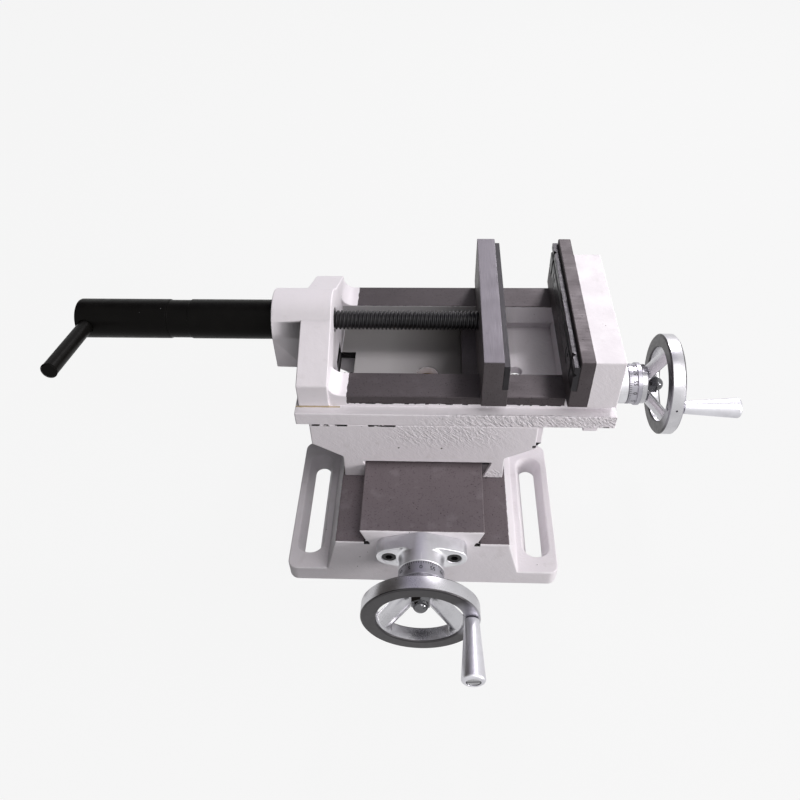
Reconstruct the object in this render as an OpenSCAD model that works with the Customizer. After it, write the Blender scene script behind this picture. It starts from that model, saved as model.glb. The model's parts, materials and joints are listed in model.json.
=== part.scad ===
// Cross slide vise: a screw vise that rides on two crossed dovetail slides.
// X runs along the jaw travel, Y away from the front handwheel, Z up.
// The origin is the middle of the base's underside; sizes are in millimetres.

/* [Base casting] */
// Width of the base over both slotted ears
base_w = 212; // [200:1:240]
// Length of the base from front to rear
base_l = 131; // [124:1:150]
// Thickness of the slotted ears
ear_h = 16; // [12:0.5:20]
// Height of the machined flats beside the dovetail
flat_z = 53; // [50:0.5:60]
// Width of the central block at the flats
block_top_w = 130; // [122:1:140]
// Width of the central block where it meets the ears
block_foot_w = 148; // [142:1:152]
// Width across the top of the base dovetail
y_dove_w = 92.4; // [84:0.2:96]
// Height of the base dovetail above the flats
y_dove_h = 14.6; // [12:0.2:16]
// Width of a clamping slot
slot_w = 13; // [10:0.5:14]
// Length of a clamping slot from end to end
slot_l = 94; // [80:1:100]
// Distance of a clamping slot from the middle of the base
slot_x = 90; // [88:0.5:92]

/* [Saddle] */
// Length of the saddle along the jaw travel
saddle_w = 176; // [160:1:190]
// Height of the saddle's top face
saddle_top_z = 112.9; // [110:0.1:118]
// Width across the outer sides of the saddle's legs
saddle_leg_w = 126; // [122:1:130]
// Place of the saddle's middle plane behind the middle of the base, at rest
saddle_y = 73; // [64:0.5:80]

/* [Vise body] */
// Length of the slide plate
plate_l = 237.3; // [220:0.1:260]
// Thickness of the slide plate
plate_t = 11.8; // [10:0.1:14]
// Place of the plate's middle to the right of the base's middle, at rest
vise_x = 22.8; // [10:0.1:30]
// Jaw width, which is also the width of the plate and of the saddle
jaw_w = 150; // [146:1:156]
// Jaw height above the rails
jaw_h = 43.2; // [36:0.1:50]
// Rail height above the plate
rail_h = 10.2; // [8:0.1:14]
// Half width over the rails
rail_out = 66; // [62:0.5:70]
// Half width between the rails
rail_in = 40.5; // [36:0.5:42]
// Jaw opening at rest
jaw_gap = 43.5; // [20:0.5:80]
// Thickness of the screw post
post_t = 23.2; // [20:0.1:28]
// Length of the boss on the screw post
boss_l = 22.6; // [16:0.1:28]
// Radius of the boss on the screw post
boss_r = 24.5; // [20:0.5:26]
// Height of the jaw screw above the rails
jaw_axis_h = 18; // [16:0.1:20]
// Height of the screw post's eaves above the rails
post_eave_h = 10.5; // [8:0.5:14]
// Height of the screw post's ridge above the rails
post_ridge_h = 42.2; // [40:0.1:46]
// Radius of the fillet between the screw post and the rails
post_fillet_r = 10; // [6:0.5:10]

/* [Jaws] */
// Thickness of the moving jaw
jaw_t = 18.5; // [16:0.5:24]
// Thickness of a jaw plate
jaw_plate_t = 4.1; // [3:0.1:6]
// Height of a jaw plate
jaw_plate_h = 22.3; // [16:0.1:26]
// Drop of a jaw plate's top below the jaw top
jaw_plate_drop = 4.2; // [2:0.1:6]

/* [Jaw screw and sleeve] */
// Radius of the jaw screw over its thread
jaw_screw_r = 7.5; // [6:0.1:8]
// Length of the jaw screw's thread outside the jaw
jaw_screw_l = 192; // [180:1:200]
// Radius of the rotating sleeve
sleeve_r = 15.4; // [14:0.1:18]
// Length of the sleeve outside the boss
sleeve_l = 156; // [150:1:170]
// Radius of the handle bar
bar_r = 5.75; // [5:0.05:6.5]
// Reach of the handle bar from the sleeve's axis
bar_l = 81; // [60:1:120]
// Lift of the handle bar above the horizontal, in degrees
bar_angle = 12; // [0:1:45]

/* [Handwheel drives] */
// Height of the cross screw that moves the saddle
y_axis_z = 52; // [50:0.5:54]
// Height of the long screw that moves the vise body
x_axis_z = 86.9; // [86:0.1:89]
// Radius of the lead screws over their thread
lead_r = 7; // [6:0.1:7.5]
// Radius of a bracket nose and of a graduated dial
nose_r = 16.6; // [15:0.1:18]
// Distance of a bracket's two screws from its axis
lobe_x = 24; // [22:0.5:27]
// Thickness of a bracket's flange
flange_t = 12; // [9:0.5:14]
// Distance from a bracket's seat to the end of its nose
nose_l = 24.4; // [22:0.1:32]
// Outer radius of a handwheel
wheel_r = 41.5; // [38:0.1:46]
// Inner radius of a handwheel's rim
rim_in_r = 30.7; // [28:0.1:32]
// Thickness of a handwheel's rim along its axis
rim_t = 11.4; // [9:0.1:14]
// Distance of a handle from the handwheel's axis
handle_x = 35.4; // [34:0.1:37]
// Length of a revolving grip
grip_l = 44; // [36:0.5:52]
// Angle of the front handwheel's handle, in degrees
y_handle_angle = 6; // [-30:1:30]
// Angle of the right handwheel's handle, in degrees
x_handle_angle = 167; // [140:1:190]

/* [Hidden] */
$fn = 96;
eps = 0.05;
cut = 1;
run_gap = 0.05;
seat_gap = 0.02;

y_dove_top_z = flat_z + y_dove_h;
y_dove_in = 5;
y_dove_top = y_dove_w/2;
relief_w = 2.6;
y_dove_neck = y_dove_top - y_dove_in;
ear_corner_r = 8;
cast_wall = 10;
front_wall = 12;
cavity_roof = 11;
channel_w = 34;
channel_roof = 7.6;
channel_top_z = y_dove_top_z - channel_roof;
slot_lip_h = 4;
slot_flare = 4;
slot_r = slot_w/2;

nut_neck_w = 16;
nut_body_w = 28;
nut_air = 1;
nut_top_gap = 2;
nut_drop = 10;
nut_body_top_z = channel_top_z - nut_top_gap;
nut_body_low_z = y_axis_z - nut_drop;
channel_low_z = min(nut_body_low_z, flat_z - cavity_roof) - nut_air;
nut_l = 18;
nut_screw_back = 2;
nut_slot_w = 18;
nut_pocket = 2;
saddle_forward = 37;
saddle_backward = 12;

gib_t = 5.7;
gib_play = 0.04;
gib_side = 0.4;
gib_short = 2;
set_sink = 0.5;
y_gib_pitch = 40;
x_gib_pitch = 63.4;
y_gib_places = [for (i = [-1.5:1.5]) i*y_gib_pitch];
x_gib_places = [for (i = [-1:1]) i*x_gib_pitch];
y_gib_screw_h = 7.5;
y_gib_screw_z = flat_z + y_gib_screw_h;
saddle_x = 2;
end_step_x = 4.5;
end_step_y = 3.5;
saddle_low_z = flat_z + run_gap;
roof_gap = 3.7;
knee_h = 5.2;
cheek_h = 14.5;
saddle_roof_z = y_dove_top_z + roof_gap;
saddle_knee_z = saddle_roof_z + knee_h;
saddle_cheek_z = saddle_knee_z + cheek_h;
y_flank = y_dove_in/y_dove_h;

plate_low_z = saddle_top_z + run_gap;
x_gib_screw_drop = 6.5;
x_gib_screw_z = plate_low_z - x_gib_screw_drop;
plate_top_z = plate_low_z + plate_t;
rail_z = plate_top_z + rail_h;
jaw_z = rail_z + jaw_h;
jaw_axis_z = rail_z + jaw_axis_h;
plate_x0 = vise_x - plate_l/2;
plate_x1 = vise_x + plate_l/2;
post_back = 2.5;
post_over = 1.5;
post_x0 = plate_x0 + post_back;
post_x1 = post_x0 + post_t;
post_half = rail_out + post_over;
post_eave_z = rail_z + post_eave_h;
post_ridge_z = rail_z + post_ridge_h;
boss_x0 = post_x0 - boss_l;
boss_low_z = plate_top_z - eps;

fixed_back = 2.8;
fixed_x1 = plate_x1 - fixed_back;
fixed_t = 35.1;
fixed_x0 = fixed_x1 - fixed_t;
fixed_head_t = 14.1;
fixed_rear_step = 22;
fixed_block_rear = jaw_w/2 - fixed_rear_step;
moving_x1 = fixed_x0 - jaw_gap;
moving_x0 = moving_x1 - jaw_t;
jaw_plate_top_z = jaw_z - jaw_plate_drop;
jaw_plate_low_z = jaw_plate_top_z - jaw_plate_h;

x_dove_h = 13;
x_dove_in = 5;
x_dove_side = 23;
x_dove_neck = jaw_w/2 - x_dove_side;
x_dove_low = x_dove_neck + x_dove_in;
x_dove_low_z = plate_low_z - x_dove_h;
x_floor_gap = 0.5;
x_floor_z = x_dove_low_z - x_floor_gap;
x_flank = x_dove_in/x_dove_h;
pocket_floor_t = 7.5;
pocket_floor_z = x_dove_low_z + pocket_floor_t;
lip_t = 18;
lip_low_z = rail_z - lip_t;
lip_under = 6.5;
pocket_over = 2.5;
pocket_x1 = fixed_x0 + pocket_over;
tunnel_w = 26;
tunnel_h = 12.5;
tunnel_floor_l = 12;
wide_hole_back = 20.8;
wide_hole_x = vise_x - wide_hole_back;
wide_hole_r = 8.5;
small_hole_ahead = 50.7;
small_hole_x = vise_x + small_hole_ahead;
small_hole_y = -8;
small_hole_r = 5;
apron_t = 12;
apron_wall = 12;
apron_half = lobe_x + apron_wall;
apron_drop = 20;
apron_low_z = x_axis_z - apron_drop;
plate_screw_y = 45;
plate_screw_short = 1.5;
vee = 2.2;
vee_drop = 7.1;
vee_side = 13.5;
plate_screw_h = 6.7;
plate_screw_z = jaw_plate_low_z + plate_screw_h;

groove_half = 18;
groove_floor = 6.7;
groove_low_z = saddle_roof_z + groove_floor;
x_nut_l = 32;
x_nut_low_z = groove_low_z + seat_gap;
x_nut_top_z = x_floor_z - nut_air;
nut_screw_y = 12.5;
nut_screw_r = 2.5;
nut_head_r = 4.25;
nut_head_h = 5;
nut_head_sink = 0.3;
nut_screw_grip = 5;
hang_screw_r = 4;
hang_head_r = 6.5;
hang_head_h = 8;
hang_key_r = 3.5;
hang_wall = 1.5;
hang_tip_gap = 2.6;
hang_low_z = y_axis_z + lead_r + hang_tip_gap;
hang_top_z = x_floor_z - nut_air;
hang_screw_y = saddle_y - groove_half - hang_head_r - hang_wall;
nut_y = hang_screw_y + nut_screw_back;
nut_slot_y = nut_y - nut_l/2 - saddle_forward - nut_air;

keeper_l = 30;
keeper_t = 8.3;
keeper_top_z = lip_low_z - run_gap;
keeper_low_z = keeper_top_z - keeper_t;
keeper_back = 0.2;
keeper_side = 0.4;
keeper_x1 = moving_x1 - keeper_back;
keeper_screw_y = 22;
keeper_head_h = 4;
keeper_screw_l = 16;
keeper_screw_x = moving_x1 - jaw_t/2;

spigot_r = 12;
spigot_short = 11;
spigot_l = boss_l + post_t - spigot_short;
post_hole_r = 9.5;
screw_spigot_r = 6;
screw_spigot_l = 12;
pin_r = 2;
pin_x = moving_x0 + screw_spigot_l/2;
pin_over = 8.5;
pin_air = 1;
sleeve_gap = 0.25;
sleeve_x1 = boss_x0 - sleeve_gap;
sleeve_x0 = sleeve_x1 - sleeve_l;
sleeve_end_wall = 20;
bar_set_in = 8.5;
bar_x = sleeve_x0 + bar_set_in;
bar_in = 4;
bar_screw_r = 2.5;
sleeve_step = 0.6;
sleeve_edge = 2;
sleeve_edge_in = 0.6;
bar_edge = 0.8;
sleeve_recess_x0 = 72.5;
sleeve_recess_x1 = 89.7;
groove_x = boss_x0 + boss_l/2;
groove_depth = 2;
retain_r = 3;

collar_r = 9;
collar_l = 6;
collar_air = 1;
journal_r = 6;
stub_r = 5;
tip_r = 4;
thrust_gap = 0.1;
dial_gap = 0.15;
dial_l = 7;
dial_rim = 1.2;
dial_rim_l = 3.4;
dial_rim_r = nose_r + dial_rim;
dial_end = nose_l + dial_l + dial_rim_l;
hub_r = 16.4;
hub_l = 4.2;
hub_end = dial_end + hub_l;
washer_t = 1.6;
washer_r = 8.5;
wheel_nut_h = 9.2;
wheel_nut_r = 7.5;
dome_r = 5.8;
tip_over = 2;
rim_back = 15.8;
rim_low = dial_end + rim_back;
rim_top = rim_low + rim_t;
rim_edge = 1.2;
spoke_w = 19;
spoke_t = 6.6;
spoke_root = 7;
spindle_r = 3;
grip_gap = 0.4;
grip_low = rim_top + grip_gap;
grip_top = grip_low + grip_l;
grip_r0 = 5.2;
grip_r1 = 8.1;
grip_round = 2.4;
head_recess = 3.4;
head_recess_r = 5;
spindle_head_r = 4.6;
spindle_head_h = 2.2;
spindle_sink = 0.6;
slot_cut_w = 1.2;
slot_cut_h = 1;
lobe_r = 9.5;
nose_fillet_r = 3;
flange_in = 0.1;
flange_r = nose_r - flange_in;
m6_r = 3;
m6_head_r = 5;
m6_head_h = 6;
m6_key = 2.9;
m6_sink = 0.4;
m6_play = 0.3;
bracket_screw_l = 16;
flat_head = 3.1;
flat_sink = 0.3;
flat_key_r = 2;
screw_over = 10;
screw_short = 16;
y_screw_l = base_l/2 + nut_y + nut_l/2 + saddle_backward + screw_over;
x_screw_l = plate_l - screw_short;
y_spoke_angle = 90;
x_spoke_angle = 82;

// Prism along Y from a profile in X and Z
module along_y(y0, y1) {
    translate([0, y1, 0]) rotate([90, 0, 0]) linear_extrude(y1 - y0) children();
}

// Prism along X from a profile in Y and Z
module along_x(x0, x1) {
    translate([x0, 0, 0]) rotate([90, 0, 90]) linear_extrude(x1 - x0) children();
}

// Round bar along X at a place in Y and Z
module rod_x(x0, x1, r, y, z) {
    translate([x0, y, z]) rotate([0, 90, 0]) cylinder(h = x1 - x0, r = r);
}

// Round bar along Y at a place in X and Z
module rod_y(y0, y1, r, x, z) {
    translate([x, y1, z]) rotate([90, 0, 0]) cylinder(h = y1 - y0, r = r);
}

// Round bar along Z
module rod_z(z0, z1, r) {
    translate([0, 0, z0]) cylinder(h = z1 - z0, r = r);
}

// Box from its two corners
module box(low, high) {
    translate(low) cube(high - low);
}

// Rectangle with round corners, centred
module round_rect(w, l, r) {
    square([w - 2*r, l], center = true);
    square([w, l - 2*r], center = true);
    for (sx = [-1, 1], sy = [-1, 1]) translate([sx*(w/2 - r), sy*(l/2 - r)]) circle(r);
}

// Socket head screw: head top at z = 0, shank along -z
module cap_screw(r, l, head_r, head_h, key_r) {
    difference() {
        union() {
            rod_z(-head_h, 0, head_r);
            rod_z(-head_h - l, -head_h + eps, r);
        }
        translate([0, 0, -head_h*0.55]) cylinder(h = head_h, r = key_r, $fn = 6);
    }
}

// Countersunk screw with a hexagon socket: head top at z = 0, shank along -z
module flat_screw(r, l, head_r, key_r) {
    difference() {
        union() {
            translate([0, 0, r - head_r]) cylinder(h = head_r - r, r1 = r, r2 = head_r);
            rod_z(-l, r - head_r + eps, r);
        }
        translate([0, 0, -r*0.8]) cylinder(h = r, r = key_r, $fn = 6);
    }
}

// Headless screw with a hexagon socket: socket end at z = 0, tip along -z
module set_screw(r, l) {
    difference() {
        rod_z(-l, 0, r);
        translate([0, 0, -r]) cylinder(h = 2*r, r = r*0.55, $fn = 6);
    }
}

// Seat of the front drive: its axis points away from the base's front face
module at_front() {
    translate([0, -base_l/2, y_axis_z]) rotate([90, 0, 0]) children();
}

// Seat of the right drive: its axis points away from the vise body's right end
module at_right() {
    translate([plate_x1, saddle_y, x_axis_z]) rotate([90, 0, 90]) children();
}

// Dovetail profile of the base, cut out of the saddle with a gap on each flank
module y_dove_profile(left_gap, right_gap, top_z) {
    rise = top_z - flat_z;
    polygon([[-y_dove_neck - left_gap, flat_z - eps], [y_dove_neck + right_gap, flat_z - eps],
        [y_dove_neck + right_gap + y_flank*rise, top_z], [-y_dove_neck - left_gap - y_flank*rise, top_z]]);
}

// Half width of the upper dovetail at a height
function x_half(z) = x_dove_neck + x_flank*(plate_low_z - z);

// Dovetail profile of the vise body, in Y and Z, with a gap on each flank
module x_dove_profile(front_gap, rear_gap, low_z, top_z) {
    polygon([[-x_half(top_z) - front_gap, top_z], [-x_half(low_z) - front_gap, low_z],
        [x_half(low_z) + rear_gap, low_z], [x_half(top_z) + rear_gap, top_z]]);
}

// Tapered clamping slot through one ear
module clamp_slot() {
    run = slot_l/2 - slot_r;
    top_r = slot_r + slot_flare;
    rise = ear_h - slot_lip_h;
    for (s = [-1, 1]) translate([0, s*run, 0]) {
        rod_z(-cut, ear_h + cut, slot_r);
        translate([0, 0, slot_lip_h]) cylinder(h = rise + eps, r1 = slot_r, r2 = top_r);
    }
    box([-slot_r, -run, -cut], [slot_r, run, ear_h + cut]);
    along_y(-run, run) polygon([[-slot_r, slot_lip_h], [slot_r, slot_lip_h],
        [top_r, ear_h + eps], [-top_r, ear_h + eps]]);
}

// Base casting: two slotted ears, a hollow block and the lower dovetail
module base() color([0.85, 0.83, 0.85]) {
    half_l = base_l/2;
    difference() {
        union() {
            linear_extrude(ear_h) round_rect(base_w, base_l, ear_corner_r);
            along_y(-half_l, half_l) polygon([[-block_foot_w/2, ear_h - eps], [block_foot_w/2, ear_h - eps],
                [block_top_w/2, flat_z], [y_dove_neck, flat_z], [y_dove_top, y_dove_top_z],
                [-y_dove_top, y_dove_top_z], [-y_dove_neck, flat_z], [-block_top_w/2, flat_z]]);
        }
        for (s = [-1, 1]) {
            translate([s*slot_x, 0, 0]) clamp_slot();
            along_y(-half_l - cut, half_l + cut) translate([s*y_dove_neck, flat_z]) rotate(45)
                square(relief_w, center = true);
        }
        along_y(front_wall - half_l, half_l - cast_wall) polygon([[-block_foot_w/2 + cast_wall, -cut],
            [block_foot_w/2 - cast_wall, -cut], [block_top_w/2 - cast_wall, flat_z - cavity_roof],
            [-block_top_w/2 + cast_wall, flat_z - cavity_roof]]);
        box([-channel_w/2, front_wall - half_l, channel_low_z], [channel_w/2, half_l + cut, channel_top_z]);
        box([-nut_slot_w/2, nut_slot_y, channel_top_z - cut],
            [nut_slot_w/2, half_l + cut, y_dove_top_z + cut]);
        at_front() {
            rod_z(-front_wall - cut, cut, collar_r + collar_air);
            for (s = [-1, 1]) translate([s*lobe_x, 0, 0]) rod_z(-front_wall - cut, cut, m6_r + seat_gap);
        }
    }
}

// Two-lobed flange of a drive bracket
module flange_profile() {
    lean = acos((flange_r - lobe_r)/lobe_x);
    inner = [flange_r*cos(lean), flange_r*sin(lean)];
    outer = [lobe_x + lobe_r*cos(lean), lobe_r*sin(lean)];
    circle(flange_r);
    for (s = [-1, 1]) translate([s*lobe_x, 0]) circle(lobe_r);
    polygon([inner, outer, [outer[0], -outer[1]], [inner[0], -inner[1]],
        [-inner[0], -inner[1]], [-outer[0], -outer[1]], [-outer[0], outer[1]], [-inner[0], inner[1]]]);
}

// Cast fillet where a bracket's nose leaves its flange
module nose_fillet() {
    rotate_extrude() difference() {
        translate([nose_r - eps, flange_t - eps]) square(nose_fillet_r + eps);
        translate([nose_r + nose_fillet_r, flange_t + nose_fillet_r]) circle(nose_fillet_r);
    }
}

// Bearing bracket of one drive: flange, nose and journal bore
module drive_bracket() color([0.72, 0.72, 0.75]) {
    difference() {
        union() {
            linear_extrude(flange_t) flange_profile();
            rod_z(0, nose_l, nose_r);
            intersection() {
                linear_extrude(flange_t + nose_fillet_r) flange_profile();
                nose_fillet();
            }
        }
        rod_z(-cut, nose_l + cut, journal_r + run_gap);
        for (s = [-1, 1]) translate([s*lobe_x, 0, 0]) {
            rod_z(-cut, flange_t + cut, m6_r + m6_play);
            rod_z(flange_t - m6_head_h - m6_sink, flange_t + cut, m6_head_r + m6_play);
        }
    }
}

// Two socket head screws of one bracket
module drive_bracket_screws() color([0.25, 0.25, 0.27]) {
    for (s = [-1, 1]) translate([s*lobe_x, 0, flange_t - m6_sink])
        cap_screw(m6_r, bracket_screw_l, m6_head_r, m6_head_h, m6_key);
}

// Lead screw of one drive with thrust collar, journal and stub for the dial and wheel
module drive_screw(l) color([0.5, 0.5, 0.52]) {
    rod_z(-l, -collar_l + eps, lead_r);
    rod_z(-collar_l, -thrust_gap, collar_r);
    rod_z(-thrust_gap - eps, nose_l, journal_r);
    rod_z(nose_l - eps, hub_end + washer_t, stub_r);
    rod_z(hub_end + washer_t - eps, hub_end + washer_t + wheel_nut_h + tip_over, tip_r);
}

// Graduated dial with its grip flange
module drive_dial() color([0.75, 0.75, 0.78]) {
    difference() {
        union() {
            rod_z(nose_l + dial_gap, nose_l + dial_l, nose_r);
            rod_z(nose_l + dial_l - eps, dial_end, dial_rim_r);
        }
        rod_z(nose_l - cut, dial_end + cut, stub_r + seat_gap);
    }
}

// Spoke of a handwheel: a bar with a lens section, rising from the hub to the rim
module wheel_spoke() {
    rim_mid = (rim_low + rim_top)/2;
    root_z = dial_end + run_gap + spoke_t/2;
    run = rim_in_r + 2*rim_edge - spoke_root;
    rise = rim_mid - root_z;
    bow_r = (spoke_w*spoke_w/4 + spoke_t*spoke_t/4)/spoke_t;
    translate([spoke_root, 0, root_z]) rotate([0, 90 - atan2(rise, run), 0])
        linear_extrude(norm([run, rise])) intersection_for (s = [-1, 1])
            translate([s*(bow_r - spoke_t/2), 0]) circle(bow_r);
}

// Dished three-spoke handwheel
module drive_wheel(spoke_angle, handle_angle) color([0.78, 0.78, 0.8]) {
    difference() {
        union() {
            rotate_extrude() polygon([[rim_in_r, rim_low + rim_edge], [rim_in_r + rim_edge, rim_low],
                [wheel_r - rim_edge, rim_low], [wheel_r, rim_low + rim_edge],
                [wheel_r, rim_top - rim_edge], [wheel_r - rim_edge, rim_top],
                [rim_in_r + rim_edge, rim_top], [rim_in_r, rim_top - rim_edge]]);
            rod_z(dial_end + run_gap, hub_end, hub_r);
            for (i = [0:2]) rotate([0, 0, spoke_angle + i*120]) wheel_spoke();
        }
        rod_z(dial_end - cut, rim_top + cut, stub_r + seat_gap);
        rod_z(hub_end, rim_top + cut, washer_r + m6_play);
        rotate([0, 0, handle_angle]) translate([handle_x, 0, 0])
            rod_z(rim_low - cut, rim_top + cut, spindle_r + seat_gap);
    }
}

// Washer under the wheel nut
module drive_washer() color([0.45, 0.45, 0.48]) {
    difference() {
        rod_z(hub_end + seat_gap, hub_end + washer_t, washer_r);
        rod_z(hub_end - cut, hub_end + washer_t + cut, stub_r + seat_gap);
    }
}

// Domed wheel nut
module drive_nut() color([0.3, 0.3, 0.33]) {
    low = hub_end + washer_t + seat_gap;
    difference() {
        union() {
            translate([0, 0, low]) rotate([0, 0, 30])
                cylinder(h = wheel_nut_h, r = wheel_nut_r, $fn = 6);
            translate([0, 0, low + wheel_nut_h]) intersection() {
                sphere(dome_r);
                translate([0, 0, -eps]) cylinder(h = dome_r + cut, r = dome_r);
            }
        }
        rod_z(low - cut, low + wheel_nut_h + tip_over + 2*m6_play, tip_r + seat_gap);
    }
}

// Slotted shoulder screw that carries a revolving grip
module handle_spindle(handle_angle) color([0.4, 0.4, 0.42]) {
    head_top = grip_top - spindle_sink;
    rotate([0, 0, handle_angle]) translate([handle_x, 0, 0]) difference() {
        union() {
            rod_z(rim_low + rim_edge, head_top - spindle_head_h, spindle_r);
            rod_z(head_top - spindle_head_h - eps, head_top, spindle_head_r);
        }
        box([-head_recess_r, -slot_cut_w/2, head_top - slot_cut_h],
            [head_recess_r, slot_cut_w/2, head_top + cut]);
    }
}

// Revolving grip, slim at the wheel and thicker at its rounded end
module handle_grip(handle_angle) color([0.8, 0.8, 0.82]) {
    rotate([0, 0, handle_angle]) translate([handle_x, 0, 0]) difference() {
        rotate_extrude() polygon([[0, grip_low], [grip_r0 - spindle_sink, grip_low],
            [grip_r0, grip_low + spindle_sink], [grip_r1, grip_top - grip_round],
            for (a = [15:15:75]) [grip_r1 - grip_round*(1 - cos(a)), grip_top - grip_round*(1 - sin(a))],
            [grip_r1 - grip_round, grip_top], [0, grip_top]]);
        rod_z(grip_low - cut, grip_top + cut, spindle_r + run_gap);
        rod_z(grip_top - head_recess, grip_top + cut, head_recess_r);
    }
}

module front_bracket() at_front() drive_bracket();

module front_bracket_screws() at_front() drive_bracket_screws();

module y_lead_screw() at_front() drive_screw(y_screw_l);

module y_dial() at_front() drive_dial();

module y_handwheel() at_front() drive_wheel(y_spoke_angle, y_handle_angle);

module y_wheel_washer() at_front() drive_washer();

module y_wheel_nut() at_front() drive_nut();

module y_handle_spindle() at_front() handle_spindle(y_handle_angle);

module y_handle_grip() at_front() handle_grip(y_handle_angle);

module x_bracket() at_right() drive_bracket();

module x_bracket_screws() at_right() drive_bracket_screws();

module x_lead_screw() at_right() drive_screw(x_screw_l);

module x_dial() at_right() drive_dial();

module x_handwheel() at_right() drive_wheel(x_spoke_angle, x_handle_angle);

module x_wheel_washer() at_right() drive_washer();

module x_wheel_nut() at_right() drive_nut();

module x_handle_spindle() at_right() handle_spindle(x_handle_angle);

module x_handle_grip() at_right() handle_grip(x_handle_angle);

// Saddle casting: lower dovetail way along Y, upper dovetail way along X
module saddle() color([0.85, 0.83, 0.85]) {
    half = saddle_w/2;
    leg = saddle_leg_w/2;
    y0 = saddle_y - jaw_w/2;
    y1 = saddle_y + jaw_w/2;
    difference() {
        along_y(y0, y1) polygon([[saddle_x - half, saddle_top_z], [saddle_x - half, saddle_cheek_z],
            [-leg, saddle_knee_z], [-leg, saddle_low_z], [leg, saddle_low_z], [leg, saddle_knee_z],
            [saddle_x + half, saddle_cheek_z], [saddle_x + half, saddle_top_z]]);
        along_y(y0 - cut, y1 + cut) y_dove_profile(run_gap, gib_t + run_gap, saddle_roof_z);
        translate([0, saddle_y, 0]) {
            along_x(-base_w, base_w) x_dove_profile(run_gap, gib_t + run_gap, x_floor_z, saddle_top_z + eps);
            along_x(-base_w, base_w) translate([-groove_half, groove_low_z])
                square([2*groove_half, x_floor_z - groove_low_z + eps]);
            for (sy = [-1, 1]) translate([saddle_x, sy*nut_screw_y, groove_low_z])
                rod_z(-nut_screw_grip - x_floor_gap, cut, nut_screw_r + seat_gap);
            for (x = x_gib_places) rod_y(x_dove_neck, jaw_w, m6_r + seat_gap, saddle_x + x, x_gib_screw_z);
            for (y = y_gib_places) rod_x(y_dove_neck, base_w, m6_r + seat_gap, y, y_gib_screw_z);
        }
        box([-nut_neck_w/2 - seat_gap, nut_y - nut_l/2 - seat_gap, saddle_roof_z - cut],
            [nut_neck_w/2 + seat_gap, nut_y + nut_l/2 + seat_gap, saddle_roof_z + nut_pocket]);
        translate([0, hang_screw_y, 0]) {
            rod_z(saddle_roof_z, x_floor_z + cut, hang_screw_r + seat_gap);
            rod_z(hang_top_z - hang_head_h - seat_gap, x_floor_z + cut, hang_head_r + m6_play);
        }
        box([saddle_x + half - end_step_x, y0 - cut, saddle_cheek_z - cut],
            [saddle_x + half + cut, y0 + end_step_y, saddle_top_z + cut]);
    }
}

// Nut of the cross screw, hung from the saddle through the slot in the base
module y_nut() color([0.72, 0.58, 0.3]) {
    y0 = nut_y - nut_l/2;
    y1 = nut_y + nut_l/2;
    difference() {
        union() {
            box([-nut_body_w/2, y0, nut_body_low_z], [nut_body_w/2, y1, nut_body_top_z]);
            box([-nut_neck_w/2, y0, nut_body_top_z - eps],
                [nut_neck_w/2, y1, saddle_roof_z + nut_pocket - seat_gap]);
        }
        rod_y(y0 - cut, y1 + cut, lead_r + run_gap, 0, y_axis_z);
        translate([0, hang_screw_y, 0])
            rod_z(hang_low_z - x_floor_gap, saddle_roof_z + nut_pocket + cut, hang_screw_r + seat_gap);
    }
}

// Socket head screw that holds the cross screw's nut
module y_nut_screw() color([0.25, 0.25, 0.27]) {
    translate([0, hang_screw_y, hang_top_z])
        cap_screw(hang_screw_r, hang_top_z - hang_head_h - hang_low_z, hang_head_r, hang_head_h, hang_key_r);
}

// Straight gib of the lower way
module y_gib() color([0.45, 0.45, 0.48]) {
    low_z = flat_z + gib_side;
    top_z = y_dove_top_z - gib_side;
    low_x = y_dove_neck + y_flank*(low_z - flat_z);
    top_x = y_dove_neck + y_flank*(top_z - flat_z);
    along_y(saddle_y - jaw_w/2 + gib_short, saddle_y + jaw_w/2 - gib_short)
        polygon([[low_x + gib_play, low_z], [low_x + gib_t, low_z],
            [top_x + gib_t, top_z], [top_x + gib_play, top_z]]);
}

// Set screws that bear on the lower gib
module y_gib_screws() color([0.25, 0.25, 0.27]) {
    gib_back = y_dove_neck + y_flank*(y_gib_screw_z + m6_r - flat_z) + gib_t;
    for (y = y_gib_places) translate([saddle_leg_w/2 - set_sink, saddle_y + y, y_gib_screw_z])
        rotate([0, 90, 0]) set_screw(m6_r, saddle_leg_w/2 - set_sink - gib_back - seat_gap);
}

// Nut of the long screw, seated in the saddle's groove
module x_nut() color([0.72, 0.58, 0.3]) {
    half_y = groove_half - seat_gap;
    translate([saddle_x, saddle_y, 0]) difference() {
        box([-x_nut_l/2, -half_y, x_nut_low_z], [x_nut_l/2, half_y, x_nut_top_z]);
        rod_x(-x_nut_l, x_nut_l, lead_r + run_gap, 0, x_axis_z);
        for (sy = [-1, 1]) translate([0, sy*nut_screw_y, 0]) {
            rod_z(x_nut_low_z - cut, x_nut_top_z + cut, nut_screw_r + seat_gap);
            rod_z(x_nut_top_z - nut_head_sink - nut_head_h, x_nut_top_z + cut, nut_head_r + m6_play);
        }
    }
}

// Socket head screws of the long screw's nut
module x_nut_screws() color([0.25, 0.25, 0.27]) {
    top_z = x_nut_top_z - nut_head_sink;
    shank = top_z - nut_head_h - groove_low_z + nut_screw_grip;
    for (sy = [-1, 1]) translate([saddle_x, saddle_y + sy*nut_screw_y, top_z])
        cap_screw(nut_screw_r, shank, nut_head_r, nut_head_h, nut_head_r*0.55);
}

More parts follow.
